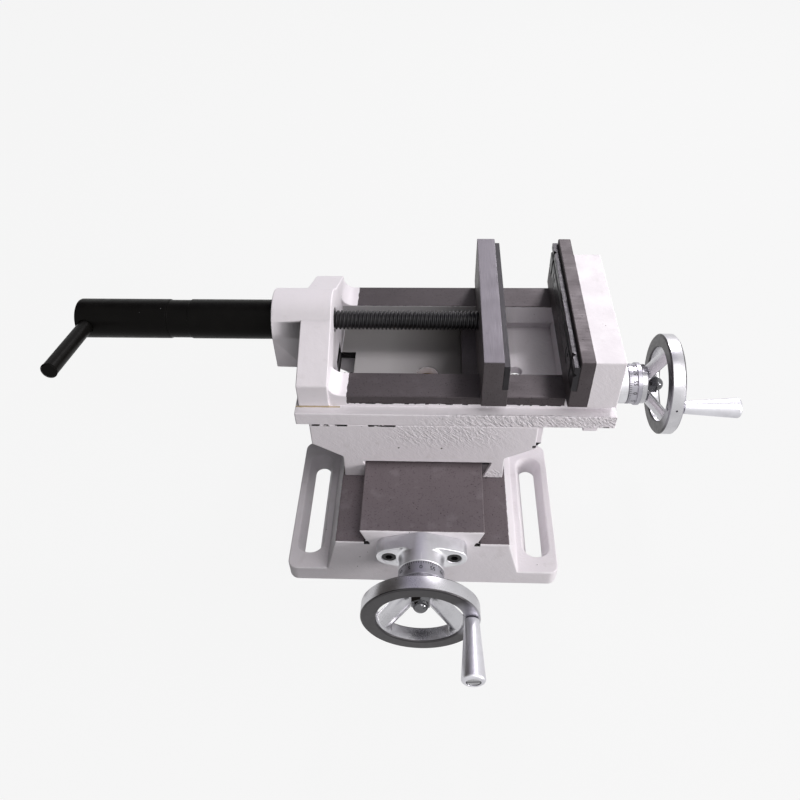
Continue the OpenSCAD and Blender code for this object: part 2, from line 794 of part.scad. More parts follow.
// Straight gib of the upper way
module x_gib() color([0.45, 0.45, 0.48]) {
    low_z = x_dove_low_z + gib_side;
    top_z = saddle_top_z - gib_side;
    low_y = x_half(low_z);
    top_y = x_half(top_z);
    translate([0, saddle_y, 0])
        along_x(saddle_x - saddle_w/2 + gib_short, saddle_x + saddle_w/2 - end_step_x - gib_short)
            polygon([[low_y + gib_play, low_z], [low_y + gib_t, low_z],
                [top_y + gib_t, top_z], [top_y + gib_play, top_z]]);
}

// Set screws that bear on the upper gib
module x_gib_screws() color([0.25, 0.25, 0.27]) {
    gib_back = x_half(x_gib_screw_z - m6_r) + gib_t;
    for (x = x_gib_places) translate([saddle_x + x, saddle_y + jaw_w/2 - set_sink, x_gib_screw_z])
        rotate([-90, 0, 0]) set_screw(m6_r, jaw_w/2 - set_sink - gib_back - seat_gap);
}

// Vise body casting: slide plate, rails, screw post with boss, fixed jaw and drive apron
module vise_body() color([0.88, 0.86, 0.88]) translate([0, saddle_y, 0]) difference() {
    union() {
        box([plate_x0, -jaw_w/2, plate_low_z], [plate_x1, jaw_w/2, plate_top_z]);
        box([post_x0, -rail_out, plate_low_z + eps], [fixed_x1, rail_out, rail_z]);
        along_x(plate_x0, plate_x1) x_dove_profile(0, 0, x_dove_low_z, plate_low_z + eps);
        for (s = [-1, 1]) translate([0, s*(rail_out + rail_in)/2, 0])
            along_y(-(rail_out - rail_in)/2, (rail_out - rail_in)/2) difference() {
                translate([post_x1 - eps, rail_z - eps]) square(post_fillet_r + eps);
                translate([post_x1 + post_fillet_r, rail_z + post_fillet_r]) circle(post_fillet_r);
            }
        along_x(post_x0, post_x1) polygon([[-post_half, plate_top_z - eps], [post_half, plate_top_z - eps],
            [post_half, post_eave_z], [0, post_ridge_z], [-post_half, post_eave_z]]);
        rod_x(boss_x0, post_x1, boss_r, 0, jaw_axis_z);
        box([boss_x0, -boss_r, boss_low_z], [post_x1, boss_r, jaw_axis_z]);
        box([fixed_x0, -jaw_w/2, rail_z - eps], [fixed_x0 + fixed_head_t, jaw_w/2, jaw_z]);
        along_x(fixed_x0, fixed_x1) polygon([[-jaw_w/2, rail_z - eps], [rail_out, rail_z - eps],
            [fixed_block_rear, jaw_z], [-jaw_w/2, jaw_z]]);
        box([plate_x1 - apron_t, -apron_half, apron_low_z], [plate_x1, apron_half, plate_low_z + eps]);
    }
    box([fixed_x0 - cut, -jaw_w, jaw_plate_low_z], [fixed_x0 + jaw_plate_t, jaw_w, jaw_z + cut]);
    box([post_x1, -rail_in, pocket_floor_z], [pocket_x1, rail_in, rail_z + eps]);
    box([post_x1, -rail_in - lip_under, pocket_floor_z], [pocket_x1, rail_in + lip_under, lip_low_z]);
    box([plate_x0 - cut, -tunnel_w/2, pocket_floor_z],
        [post_x1 + cut, tunnel_w/2, pocket_floor_z + tunnel_h]);
    box([post_x1 - eps, -tunnel_w/2, x_dove_low_z - cut],
        [post_x1 + tunnel_floor_l, tunnel_w/2, pocket_floor_z + cut]);
    translate([wide_hole_x, -nut_screw_y, 0]) rod_z(x_dove_low_z - cut, pocket_floor_z + cut, wide_hole_r);
    translate([small_hole_x, small_hole_y, 0]) rod_z(x_dove_low_z - cut, pocket_floor_z + cut, small_hole_r);
    rod_x(boss_x0 - cut, boss_x0 + spigot_l + sleeve_gap, spigot_r + run_gap, 0, jaw_axis_z);
    rod_x(boss_x0, post_x1 + cut, post_hole_r, 0, jaw_axis_z);
    rod_y(0, boss_r + cut, retain_r + seat_gap, groove_x, jaw_axis_z);
    rod_x(plate_x1 - apron_t - cut, plate_x1 + cut, collar_r + collar_air, 0, x_axis_z);
    for (sy = [-1, 1]) {
        rod_x(plate_x1 - apron_t - cut, plate_x1 + cut, m6_r + seat_gap, sy*lobe_x, x_axis_z);
        rod_x(fixed_x0, fixed_x0 + fixed_head_t, m6_r + seat_gap, sy*plate_screw_y, plate_screw_z);
    }
}

// Jaw plate blank with two countersunk holes: its work face is x = 0 and its back x = jaw_plate_t
module jaw_plate() {
    difference() {
        box([0, -jaw_w/2, jaw_plate_low_z + seat_gap], [jaw_plate_t - seat_gap, jaw_w/2, jaw_plate_top_z]);
        for (sy = [-1, 1]) translate([0, sy*plate_screw_y, plate_screw_z]) rotate([0, 90, 0]) {
            cylinder(h = jaw_plate_t + cut, r = m6_r + m6_play);
            translate([0, 0, -eps])
                cylinder(h = flat_head + eps, r1 = m6_r + m6_play + flat_head, r2 = m6_r + m6_play);
        }
    }
}

// Screws of one jaw plate, with their heads below the work face
module jaw_plate_screws(l) {
    for (sy = [-1, 1]) translate([flat_sink, sy*plate_screw_y, plate_screw_z]) rotate([0, -90, 0])
        flat_screw(m6_r, l, m6_r + flat_head - flat_sink, flat_key_r);
}

// Plate of the fixed jaw with one lying and two standing V grooves
module fixed_jaw_plate() color([0.13, 0.13, 0.14]) {
    translate([fixed_x0, saddle_y, 0]) difference() {
        jaw_plate();
        translate([0, 0, jaw_plate_top_z - vee_drop]) rotate([0, 45, 0])
            cube([vee*sqrt(2), 2*jaw_w, vee*sqrt(2)], center = true);
        for (sy = [-1, 1]) translate([0, sy*(jaw_w/2 - vee_side), jaw_plate_low_z]) rotate([0, 0, 45])
            cube([vee*sqrt(2), vee*sqrt(2), 4*jaw_plate_h], center = true);
    }
}

module fixed_jaw_plate_screws() color([0.2, 0.2, 0.22])
    translate([fixed_x0, saddle_y, 0]) jaw_plate_screws(fixed_head_t - plate_screw_short);

// Screw whose tip runs in the sleeve's groove and keeps it in the boss
module sleeve_retaining_screw() color([0.25, 0.25, 0.27]) {
    translate([groove_x, saddle_y + boss_r - set_sink, jaw_axis_z]) rotate([-90, 0, 0])
        set_screw(retain_r, boss_r - set_sink - spigot_r + groove_depth - sleeve_gap);
}

// Moving jaw casting: head on the rails and a tongue between them
module moving_jaw() color([0.42, 0.4, 0.43]) translate([0, saddle_y, 0]) difference() {
    union() {
        box([moving_x0, -jaw_w/2, rail_z + run_gap], [moving_x1, jaw_w/2, jaw_z]);
        box([moving_x0, -rail_in + run_gap, keeper_top_z + seat_gap],
            [moving_x1, rail_in - run_gap, rail_z + run_gap + eps]);
    }
    box([moving_x1 - jaw_plate_t, -jaw_w, jaw_plate_low_z], [moving_x1 + cut, jaw_w, jaw_z + cut]);
    rod_x(moving_x0 - cut, moving_x0 + screw_spigot_l + sleeve_gap, screw_spigot_r + seat_gap, 0, jaw_axis_z);
    translate([pin_x, 0, 0]) rod_z(keeper_top_z - cut, jaw_axis_z + pin_over + sleeve_gap, pin_r + seat_gap);
    for (sy = [-1, 1]) {
        translate([keeper_screw_x, sy*keeper_screw_y, 0])
            rod_z(keeper_top_z - cut, keeper_low_z + keeper_head_h + keeper_screw_l + cut, m6_r + seat_gap);
        rod_x(moving_x0 + plate_screw_short, moving_x1, m6_r + seat_gap, sy*plate_screw_y, plate_screw_z);
    }
}

// Plain plate of the moving jaw
module moving_jaw_plate() color([0.13, 0.13, 0.14])
    translate([moving_x1, saddle_y, 0]) mirror([1, 0, 0]) jaw_plate();

module moving_jaw_plate_screws() color([0.2, 0.2, 0.22])
    translate([moving_x1, saddle_y, 0]) mirror([1, 0, 0])
        jaw_plate_screws(jaw_t - plate_screw_short - pocket_over);

// Jaw screw: it doesn't turn, it is pinned into the moving jaw
module jaw_screw() color([0.16, 0.16, 0.17]) translate([0, saddle_y, 0]) difference() {
    union() {
        rod_x(moving_x0 - jaw_screw_l, moving_x0 - seat_gap, jaw_screw_r, 0, jaw_axis_z);
        rod_x(moving_x0 - eps, moving_x0 + screw_spigot_l, screw_spigot_r, 0, jaw_axis_z);
    }
    translate([pin_x, 0, 0]) rod_z(jaw_axis_z - jaw_screw_r, jaw_axis_z + jaw_screw_r, pin_r + seat_gap);
}

// Cross pin that holds the jaw screw in the moving jaw
module jaw_screw_pin() color([0.35, 0.35, 0.37])
    translate([pin_x, saddle_y, 0]) rod_z(keeper_top_z + pin_air, jaw_axis_z + pin_over, pin_r);

// Plate under the rails' lips that keeps the moving jaw down
module jaw_keeper() color([0.35, 0.35, 0.37]) translate([0, saddle_y, 0]) difference() {
    box([keeper_x1 - keeper_l, -rail_in - lip_under + keeper_side, keeper_low_z],
        [keeper_x1, rail_in + lip_under - keeper_side, keeper_top_z]);
    for (sy = [-1, 1]) translate([keeper_screw_x, sy*keeper_screw_y, 0]) {
        rod_z(keeper_low_z - cut, keeper_top_z + cut, m6_r + m6_play);
        rod_z(keeper_low_z - cut, keeper_low_z + m6_sink + keeper_head_h, m6_head_r + m6_play);
    }
}

// Screws of the keeper plate, put in from below
module jaw_keeper_screws() color([0.25, 0.25, 0.27]) translate([0, saddle_y, 0])
    for (sy = [-1, 1]) translate([keeper_screw_x, sy*keeper_screw_y, keeper_low_z + m6_sink])
        rotate([180, 0, 0]) cap_screw(m6_r, keeper_screw_l, m6_head_r, keeper_head_h, m6_key);

// Direction of the handle bar, seen from the sleeve's axis
module at_bar() {
    translate([bar_x, saddle_y, jaw_axis_z]) rotate([90 - bar_angle, 0, 0]) children();
}

// Rotating sleeve: the nut of the jaw screw, with a grooved spigot in the boss
module screw_sleeve() color([0.1, 0.1, 0.11]) difference() {
    union() {
        translate([sleeve_x0, saddle_y, jaw_axis_z]) rotate([0, 90, 0]) rotate_extrude() polygon([[0, 0],
            [sleeve_r - sleeve_edge, 0], [sleeve_r - sleeve_edge_in, sleeve_edge_in], [sleeve_r, sleeve_edge],
            [sleeve_r, sleeve_recess_x0], [sleeve_r - sleeve_step, sleeve_recess_x0 + sleeve_step],
            [sleeve_r - sleeve_step, sleeve_recess_x1 - sleeve_step], [sleeve_r, sleeve_recess_x1],
            [sleeve_r, sleeve_l - sleeve_step], [sleeve_r - sleeve_step, sleeve_l], [0, sleeve_l]]);
        rod_x(sleeve_x1 - eps, groove_x - retain_r - dial_gap, spigot_r, saddle_y, jaw_axis_z);
        rod_x(sleeve_x1, boss_x0 + spigot_l, spigot_r - groove_depth, saddle_y, jaw_axis_z);
        rod_x(groove_x + retain_r + dial_gap, boss_x0 + spigot_l, spigot_r, saddle_y, jaw_axis_z);
    }
    rod_x(sleeve_x0 + sleeve_end_wall, post_x1, jaw_screw_r + run_gap, saddle_y, jaw_axis_z);
    at_bar() rod_z(-bar_in, sleeve_r + cut, bar_r + seat_gap);
    rod_x(sleeve_x0 - cut, bar_x, bar_screw_r + seat_gap, saddle_y, jaw_axis_z);
}

// Handle bar, fixed in the sleeve's closed end
module handle_bar() color([0.1, 0.1, 0.11]) at_bar() {
    rod_z(-bar_in + thrust_gap, bar_l - bar_edge + eps, bar_r);
    translate([0, 0, bar_l - bar_edge]) cylinder(h = bar_edge, r1 = bar_r, r2 = bar_r - bar_edge);
}

// Set screw in the sleeve's end that locks the bar
module bar_set_screw() color([0.25, 0.25, 0.27])
    translate([sleeve_x0 + sleeve_gap, saddle_y, jaw_axis_z]) rotate([0, -90, 0])
        set_screw(bar_screw_r, bar_x - bar_r - sleeve_gap - sleeve_x0 - seat_gap);

base();
front_bracket();
front_bracket_screws();
y_lead_screw();
y_dial();
y_handwheel();
y_wheel_washer();
y_wheel_nut();
y_handle_spindle();
y_handle_grip();
saddle();
y_nut();
y_nut_screw();
y_gib();
y_gib_screws();
x_nut();
x_nut_screws();
x_gib();
x_gib_screws();
vise_body();
fixed_jaw_plate();
fixed_jaw_plate_screws();
x_bracket();
x_bracket_screws();
sleeve_retaining_screw();
x_lead_screw();
x_dial();
x_handwheel();
x_wheel_washer();
x_wheel_nut();
x_handle_spindle();
x_handle_grip();
moving_jaw();
moving_jaw_plate();
moving_jaw_plate_screws();
jaw_screw();
jaw_screw_pin();
jaw_keeper();
jaw_keeper_screws();
screw_sleeve();
handle_bar();
bar_set_screw();
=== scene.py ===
import contextlib
import functools
import json
import math
from collections import namedtuple

import bmesh
import bpy
from mathutils import Matrix, Quaternion, Vector

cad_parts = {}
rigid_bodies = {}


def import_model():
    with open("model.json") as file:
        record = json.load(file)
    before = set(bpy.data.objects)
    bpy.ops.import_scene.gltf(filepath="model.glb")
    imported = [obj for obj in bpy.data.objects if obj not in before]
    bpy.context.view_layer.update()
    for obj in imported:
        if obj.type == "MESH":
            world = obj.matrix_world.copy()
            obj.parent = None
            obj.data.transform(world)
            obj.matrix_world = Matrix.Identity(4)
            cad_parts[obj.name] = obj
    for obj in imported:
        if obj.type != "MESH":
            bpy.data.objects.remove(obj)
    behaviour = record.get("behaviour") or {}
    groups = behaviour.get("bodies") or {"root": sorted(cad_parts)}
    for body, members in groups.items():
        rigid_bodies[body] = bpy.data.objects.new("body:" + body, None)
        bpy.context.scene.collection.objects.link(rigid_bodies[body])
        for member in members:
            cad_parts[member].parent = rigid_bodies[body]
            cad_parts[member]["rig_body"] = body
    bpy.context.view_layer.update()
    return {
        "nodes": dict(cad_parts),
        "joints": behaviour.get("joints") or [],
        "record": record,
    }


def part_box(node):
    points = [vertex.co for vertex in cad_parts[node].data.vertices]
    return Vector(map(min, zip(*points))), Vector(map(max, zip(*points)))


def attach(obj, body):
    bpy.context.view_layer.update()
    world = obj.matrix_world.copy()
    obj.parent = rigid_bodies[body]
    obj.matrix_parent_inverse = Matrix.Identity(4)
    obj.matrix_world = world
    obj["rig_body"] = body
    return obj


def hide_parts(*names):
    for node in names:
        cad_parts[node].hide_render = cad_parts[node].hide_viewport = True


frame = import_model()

# Base casting: grey iron cast in sand, with a hollow underside and two slotted ears.
# It is painted white all over, then the dovetail and the flats beside it are milled bare.
# The paint is thick and a little wavy, and the milled iron keeps pits and scuffs.

nodes = frame["nodes"]
mm = 0.001


def feed(tree, socket, value):
    """Links a socket to another one, or sets it to a plain value."""
    if isinstance(value, bpy.types.NodeSocket):
        tree.links.new(value, socket)
    else:
        socket.default_value = value


def add_node(tree, kind, inputs=None, **settings):
    """A new node of a tree, with these settings and inputs."""
    made = tree.nodes.new(kind)
    for setting, value in settings.items():
        setattr(made, setting, value)
    for key, value in (inputs or {}).items():
        feed(tree, made.inputs[key], value)
    return made


def math_node(tree, operation, *values):
    """The result of a Math node."""
    return add_node(tree, "ShaderNodeMath", dict(enumerate(values)), operation=operation).outputs[0]


def colour(value):
    """A colour for a socket, from a link or from red, green and blue."""
    return value if isinstance(value, bpy.types.NodeSocket) else (*value, 1.0)


class Finish:
    """A procedural finish on object coordinates, built up one node at a time."""

    def __init__(self, name, **shader):
        self.material = bpy.data.materials.new(name)
        self.material.use_nodes = True
        self.tree = self.material.node_tree
        self.shader = self.tree.nodes["Principled BSDF"]
        self.place = self.add("ShaderNodeTexCoord").outputs["Object"]
        for socket, value in shader.items():
            self.put(socket.replace("_", " "), value)

    def add(self, kind, inputs=None, **settings):
        return add_node(self.tree, kind, inputs, **settings)

    def put(self, socket, value):
        feed(self.tree, self.shader.inputs[socket], value)

    def calc(self, operation, first, *others):
        """One operation over two values or more, in their order."""
        for other in others:
            first = math_node(self.tree, operation, first, other)
        return first

    def vector(self, operation, *values):
        """The result of a vector calculation; SCALE takes a vector and a number."""
        keys = (0, "Scale") if operation == "SCALE" else (0, 1)
        inputs = dict(zip(keys, values))
        return self.add("ShaderNodeVectorMath", inputs, operation=operation).outputs[0]

    def span(self, value, low, high, to_low=0.0, to_high=1.0):
        """A value's range from low to high, stretched to another range."""
        inputs = {0: value, 1: low, 2: high, 3: to_low, 4: to_high}
        return self.add("ShaderNodeMapRange", inputs, clamp=True).outputs[0]

    def mix(self, factor, first, second):
        """A colour between two others."""
        inputs = {0: factor, 6: colour(first), 7: colour(second)}
        return self.add("ShaderNodeMix", inputs, data_type="RGBA").outputs[2]

    def blend(self, factor, first, second):
        """A number between two others."""
        return self.add("ShaderNodeMix", {0: factor, 2: first, 3: second}).outputs[0]

    def axis(self, index):
        """The place along x, y or z."""
        return self.add("ShaderNodeSeparateXYZ", {0: self.place}).outputs[index]

    def noise(self, size, detail=4.0, stretch=(1, 1, 1), warp=0.0, turn=0.0):
        """Cloudy noise in patches about size metres wide, drawn out by stretch and turned about y."""
        scale = [size*part for part in stretch]
        inputs = {"Vector": self.place, "Rotation": (0, turn, 0), "Scale": scale}
        place = self.add("ShaderNodeMapping", inputs, vector_type="TEXTURE").outputs[0]
        inputs = {"Vector": place, "Scale": 1.0, "Detail": detail, "Distortion": warp}
        return self.add("ShaderNodeTexNoise", inputs).outputs[0]

    def spots(self, size, edge):
        """Small round spots in a grid of cells of that size: 1 in a spot, 0 between them."""
        inputs = {"Vector": self.place, "Scale": 1/size, "Randomness": 1.0}
        apart = self.add("ShaderNodeTexVoronoi", inputs).outputs["Distance"]
        few = self.span(self.noise(size*5, 2.0), 0.56, 0.6)
        return self.calc("MULTIPLY", self.span(apart, edge, edge*0.6), few)

    def near(self, point, inner, outer):
        """1 within the inner distance of a point, fading to 0 at the outer one."""
        inputs = {0: self.place, 1: point}
        apart = self.add("ShaderNodeVectorMath", inputs, operation="DISTANCE").outputs["Value"]
        return self.span(apart, outer, inner)

    def zone(self, low, high, ragged=0.0, size=4*mm):
        """1 inside a box of the object's own frame, with an edge as ragged as paint."""
        middle = [(a + b)/2 for a, b in zip(low, high)]
        half = [(b - a)/2 for a, b in zip(low, high)]
        place = self.place
        if ragged:
            inputs = {"Vector": place, "Scale": 1/size, "Detail": 5.0}
            jitter = self.add("ShaderNodeTexNoise", inputs).outputs[1]
            shift = self.vector("SUBTRACT", jitter, (0.5, 0.5, 0.5))
            place = self.vector("ADD", place, self.vector("SCALE", shift, ragged))
        apart = self.vector("ABSOLUTE", self.vector("SUBTRACT", place, middle))
        outside = self.vector("SUBTRACT", apart, half)
        sides = self.add("ShaderNodeSeparateXYZ", {0: outside}).outputs
        return self.calc("LESS_THAN", self.calc("MAXIMUM", *sides), 0.0)

    def rough(self, size, low, high):
        """Sets a roughness that drifts between two values in patches of that size."""
        self.put("Roughness", self.span(self.noise(size), 0.3, 0.7, low, high))

    def bump(self, height, depth):
        """Sets the skin's relief."""
        inputs = {"Height": height, "Distance": depth, "Strength": 1.0}
        self.put("Normal", self.add("ShaderNodeBump", inputs).outputs[0])


paint_light = (0.84, 0.808, 0.842)
paint_shade = (0.78, 0.745, 0.78)
paint_stain = (0.6, 0.565, 0.57)
paint_speck = (0.1, 0.085, 0.09)
iron_dark = (0.118, 0.1, 0.107)
iron_light = (0.155, 0.132, 0.142)
iron_wiped = (0.19, 0.168, 0.18)
iron_scuffed = (0.05, 0.041, 0.044)
iron_pit = (0.02, 0.016, 0.017)
iron_metallic = 0.35
skin_depth = 0.6*mm
stroke_turn = math.radians(40)


def paint(finish, crinkle):
    """White enamel over a rough casting: colour, roughness and height of its skin."""
    tone = finish.mix(finish.noise(60*mm), paint_shade, paint_light)
    stains = finish.span(finish.noise(9*mm, 6.0), 0.6, 0.75, 0, 0.3)
    tone = finish.mix(stains, tone, paint_stain)
    tone = finish.mix(finish.spots(8*mm, 0.07), tone, paint_speck)
    gloss = finish.span(finish.noise(15*mm), 0.3, 0.7, 0.4, 0.55)
    wave = finish.calc("MULTIPLY", finish.noise(7*mm, 2.0), 0.3)
    grain = finish.calc("MULTIPLY", finish.noise(0.9*mm, 2.0), 0.06)
    strokes = finish.noise(1.5*mm, 3.0, (2.6, 1, 1), warp=0.6, turn=stroke_turn)
    strokes = finish.calc("MULTIPLY", finish.span(strokes, 0.35, 0.65), crinkle)
    return tone, gloss, finish.calc("ADD", wave, grain, strokes)


def bare_iron(finish, grain, level):
    """Milled grey iron: colour, roughness and height, with tool lines along grain; level scales its colour as
    painted light: above 1 a lit copy of the same iron, below 1 a shaded one.
    """
    def lit(tone):
        return [part*level for part in tone]

    tone = finish.mix(finish.noise(30*mm, 6.0), lit(iron_dark), lit(iron_light))
    scuffs = finish.span(finish.noise(1.1*mm, 2.0), 0.6, 0.7, 0, 0.7)
    tone = finish.mix(scuffs, tone, lit(iron_scuffed))
    wiped = finish.span(finish.noise(12*mm, 8.0), 0.58, 0.7, 0, 0.5)
    tone = finish.mix(wiped, tone, lit(iron_wiped))
    pits = finish.spots(3.5*mm, 0.14)
    tone = finish.mix(pits, tone, iron_pit)
    lines = finish.noise(0.5*mm, 2.0, grain)
    gloss = finish.span(finish.calc("ADD", lines, finish.noise(20*mm)), 0.7, 1.3, 0.4, 0.6)
    ridges = finish.calc("MULTIPLY", lines, 0.1)
    height = finish.calc("SUBTRACT", ridges, finish.calc("MULTIPLY", pits, 0.3))
    return tone, gloss, height


def painted_casting(name, bare, grain, level, crinkle, marks):
    """White paint where bare(finish) is 0 and milled iron where it is 1; marks(finish, tone) adds dirt, chips
    and painted shade to both.
    """
    finish = Finish(name, Specular_IOR_Level=0.25)
    mask = bare(finish)
    paint_tone, paint_gloss, paint_height = paint(finish, crinkle(finish))
    iron_tone, iron_gloss, iron_height = bare_iron(finish, grain, level)
    finish.put("Base Color", marks(finish, finish.mix(mask, paint_tone, iron_tone)))
    finish.put("Roughness", finish.blend(mask, paint_gloss, iron_gloss))
    finish.put("Metallic", finish.calc("MULTIPLY", mask, iron_metallic))
    finish.bump(finish.blend(mask, paint_height, iron_height), skin_depth)
    return finish.material


def placed(name, data):
    """A new object of the scene."""
    made = bpy.data.objects.new(name, data)
    bpy.context.scene.collection.objects.link(made)
    return made


def plain_mesh(piece):
    """The mesh that a piece's modifiers or text give."""
    view = bpy.context.evaluated_depsgraph_get()
    return bpy.data.meshes.new_from_object(piece.evaluated_get(view))


def made_plain(piece):
    """Turns a piece with modifiers into the plain mesh that they give."""
    mesh = plain_mesh(piece)
    piece.modifiers.clear()
    piece.data = mesh


@contextlib.contextmanager
def opened(mesh):
    """Opens a mesh for changes to its faces, and closes it again."""
    shell = bmesh.new()
    shell.from_mesh(mesh)
    yield shell
    shell.to_mesh(mesh)
    shell.free()


merge_gap = 0.002*mm
flat_angle = math.radians(0.5)


def rounded(node, name, width, segments=2, angle=38, hole=None, outer_only=False):
    """A copy of a solid with its sharp edges rounded, or only marked at width 0, which then stands for it.

    With outer_only, the inner corners stay as sharp as a cutter leaves them.
    """
    sharp = math.radians(angle)
    mesh = nodes[node].data.copy()
    with opened(mesh) as shell:
        bmesh.ops.remove_doubles(shell, verts=shell.verts, dist=merge_gap)
        bmesh.ops.dissolve_limit(shell, angle_limit=flat_angle, verts=shell.verts, edges=shell.edges)
        if outer_only:
            weight = shell.edges.layers.float.new("bevel_weight_edge")
            for edge in shell.edges:
                edge[weight] = float(edge.calc_face_angle_signed() > sharp)
        for face in shell.faces:
            face.smooth = True
    mesh.materials.clear()
    piece = placed(name, mesh)
    if hole:
        bore = piece.modifiers.new("hole", "BOOLEAN")
        bore.object = hole
    if width:
        bevel = piece.modifiers.new("edges", "BEVEL")
        bevel.width = width
        bevel.segments = segments
        bevel.limit_method = "WEIGHT" if outer_only else "ANGLE"
        bevel.angle_limit = sharp
        bevel.use_clamp_overlap = False
        bevel.miter_outer = "MITER_ARC"
        bevel.face_strength_mode = "FSTR_ALL"
        made_plain(piece)
    piece.data.set_sharp_from_angle(angle=sharp)
    shade = piece.modifiers.new("shading", "WEIGHTED_NORMAL")
    shade.weight = 80
    shade.keep_sharp = True
    shade.use_face_influence = True
    made_plain(piece)
    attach(piece, nodes[node]["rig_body"])
    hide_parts(node)
    return piece


def dress(piece, *materials):
    """Gives a piece these materials and no others."""
    piece.data.materials.clear()
    for material in materials:
        piece.data.materials.append(material)


far = 1.0
flat_z = 53*mm
dovetail_neck = 41.2*mm
relief_half = 2.2*mm
base_front_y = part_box("base")[0].y
paint_lap = 0.8*mm
along_x = (40, 1, 1)
along_y = (1, 40, 1)
least_crinkle = 0.12
# Black for old oil and broken paint, and also painted shade in grooves and hollows.
black_oil_and_shade = (0.012, 0.01, 0.011)


def milled_base(finish):
    """All above the flats, but the dovetail's front end stays painted."""
    return finish.zone((-far, base_front_y + paint_lap, flat_z - 0.5*mm), (far, far, far), 0.8*mm)


def even_skin(finish):
    """The same faint crinkle all over."""
    return least_crinkle


def base_reliefs(finish, tone):
    """The grooves at the dovetail's root, painted black as shade."""
    grooves = []
    for side in (-1, 1):
        low = (side*dovetail_neck - relief_half, -far, flat_z - relief_half)
        high = (side*dovetail_neck + relief_half, far, flat_z - 0.15*mm)
        grooves.append(finish.zone(low, high, 0.4*mm))
    return finish.mix(finish.calc("MAXIMUM", *grooves), tone, black_oil_and_shade)


# The base's iron is lightened 1.35 times, as painted light where the vise above shades it.
base_paint = painted_casting("base_paint", milled_base, along_y, 1.35, even_skin, base_reliefs)
dress(rounded("base", "base_casting", 1.1*mm, 3), base_paint)

# Bearing brackets: aluminium castings bolted to the base's front and to the vise's right end.
# Flange and nose are polished on a wheel, so the metal is bright with faint turning marks.

Drive = namedtuple("Drive", "letter seat bracket")


def joint_named(name):
    """A joint of the frame."""
    return next(joint for joint in frame["joints"] if joint["name"] == name)


def seat_of(bracket, spin):
    """The drive's own frame: z runs out of the seat along the screw, x and y across it."""
    joint = joint_named(spin)
    out = Vector((0, -1, 0)) if abs(joint["axis"][1]) > 0.5 else Vector((1, 0, 0))
    low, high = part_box(bracket)
    seat = Vector(joint["pos_m"])
    seat.y = high.y if out.y else seat.y
    seat.x = low.x if out.x else seat.x
    side = Vector((1, 0, 0)) if out.y else Vector((0, 1, 0))
    turn = Matrix((side, Vector((0, 0, 1)), out)).transposed()
    return Matrix.Translation(seat) @ turn.to_4x4()


def polished_aluminium(name, tone, gloss, grain, depth=0.02*mm):
    """Bright aluminium with fine lines from the lathe or the polishing wheel."""
    finish = Finish(name, Metallic=1.0)
    lines = finish.noise(0.45*mm, 3.0, grain)
    cloud = finish.noise(14*mm, 5.0)
    dull = [part*0.82 for part in tone]
    finish.put("Base Color", finish.mix(finish.span(cloud, 0.35, 0.7), tone, dull))
    both = finish.calc("ADD", lines, cloud)
    finish.put("Roughness", finish.span(both, 0.7, 1.3, gloss*0.75, gloss*1.3))
    finish.bump(lines, depth)
    return finish.material


drives = {
    "front": Drive("y", seat_of("front_bracket", "y_screw_spin"), "front_bracket"),
    "right": Drive("x", seat_of("x_bracket", "x_screw_spin"), "x_bracket"),
}
bracket_tone = (0.76, 0.755, 0.785)
bracket_grain = {"front": (60, 1, 60), "right": (60, 60, 1)}
for side, drive in drives.items():
    bracket_metal = polished_aluminium(f"{side}_bracket_metal", bracket_tone, 0.42, bracket_grain[side])
    dress(rounded(drive.bracket, f"{side}_bracket_casting", 0.9*mm, 3), bracket_metal)

# Bracket screws: black socket head cap screws, sunk in the flange's two lobes.
# The other small screws of the vise are of the same blackened steel.

black_steel = Finish("black_steel", Metallic=0.8)
black_tone = black_steel.mix(black_steel.noise(4*mm, 6.0), (0.018, 0.018, 0.02), (0.045, 0.043, 0.045))
black_steel.put("Base Color", black_tone)
black_steel.rough(1.5*mm, 0.28, 0.5)
black_steel.bump(black_steel.noise(0.4*mm), 0.02*mm)
small_screws = ["front_bracket_screws", "x_bracket_screws", "y_nut_screw", "x_nut_screws", "y_gib_screws",
                "x_gib_screws", "sleeve_retaining_screw", "jaw_keeper_screws", "bar_set_screw",
                "fixed_jaw_plate_screws", "moving_jaw_plate_screws"]
for node in small_screws:
    dress(nodes[node], black_steel.material)

# Lead screws: turned steel with a rolled trapezoidal thread, a thrust collar and a plain journal.
# Each turns in its bracket, and its nut on the saddle makes it push the slide.

thread_sides = 40
rings_per_turn = 12
root_share = 0.42


def new_tree(name, numbers, counts):
    """An empty geometry tree and its inputs: these numbers and counts, and a material."""
    tree = bpy.data.node_groups.new(name, "GeometryNodeTree")
    tree.interface.new_socket("Geometry", in_out="OUTPUT", socket_type="NodeSocketGeometry")
    kinds = {"NodeSocketFloat": numbers, "NodeSocketInt": counts, "NodeSocketMaterial": ["Material"]}
    for kind, names in kinds.items():
        for socket in names:
            tree.interface.new_socket(socket, in_out="INPUT", socket_type=kind)
    return tree, tree.nodes.new("NodeGroupInput").outputs


def ended_tree(tree, given, geometry):
    """The same tree, ended in Realize Instances and Set Material."""
    real = add_node(tree, "GeometryNodeRealizeInstances", {"Geometry": geometry})
    inputs = {"Geometry": real.outputs[0], "Material": given["Material"]}
    shown = add_node(tree, "GeometryNodeSetMaterial", inputs)
    end = tree.nodes.new("NodeGroupOutput")
    tree.links.new(shown.outputs[0], end.inputs[0])
    return tree


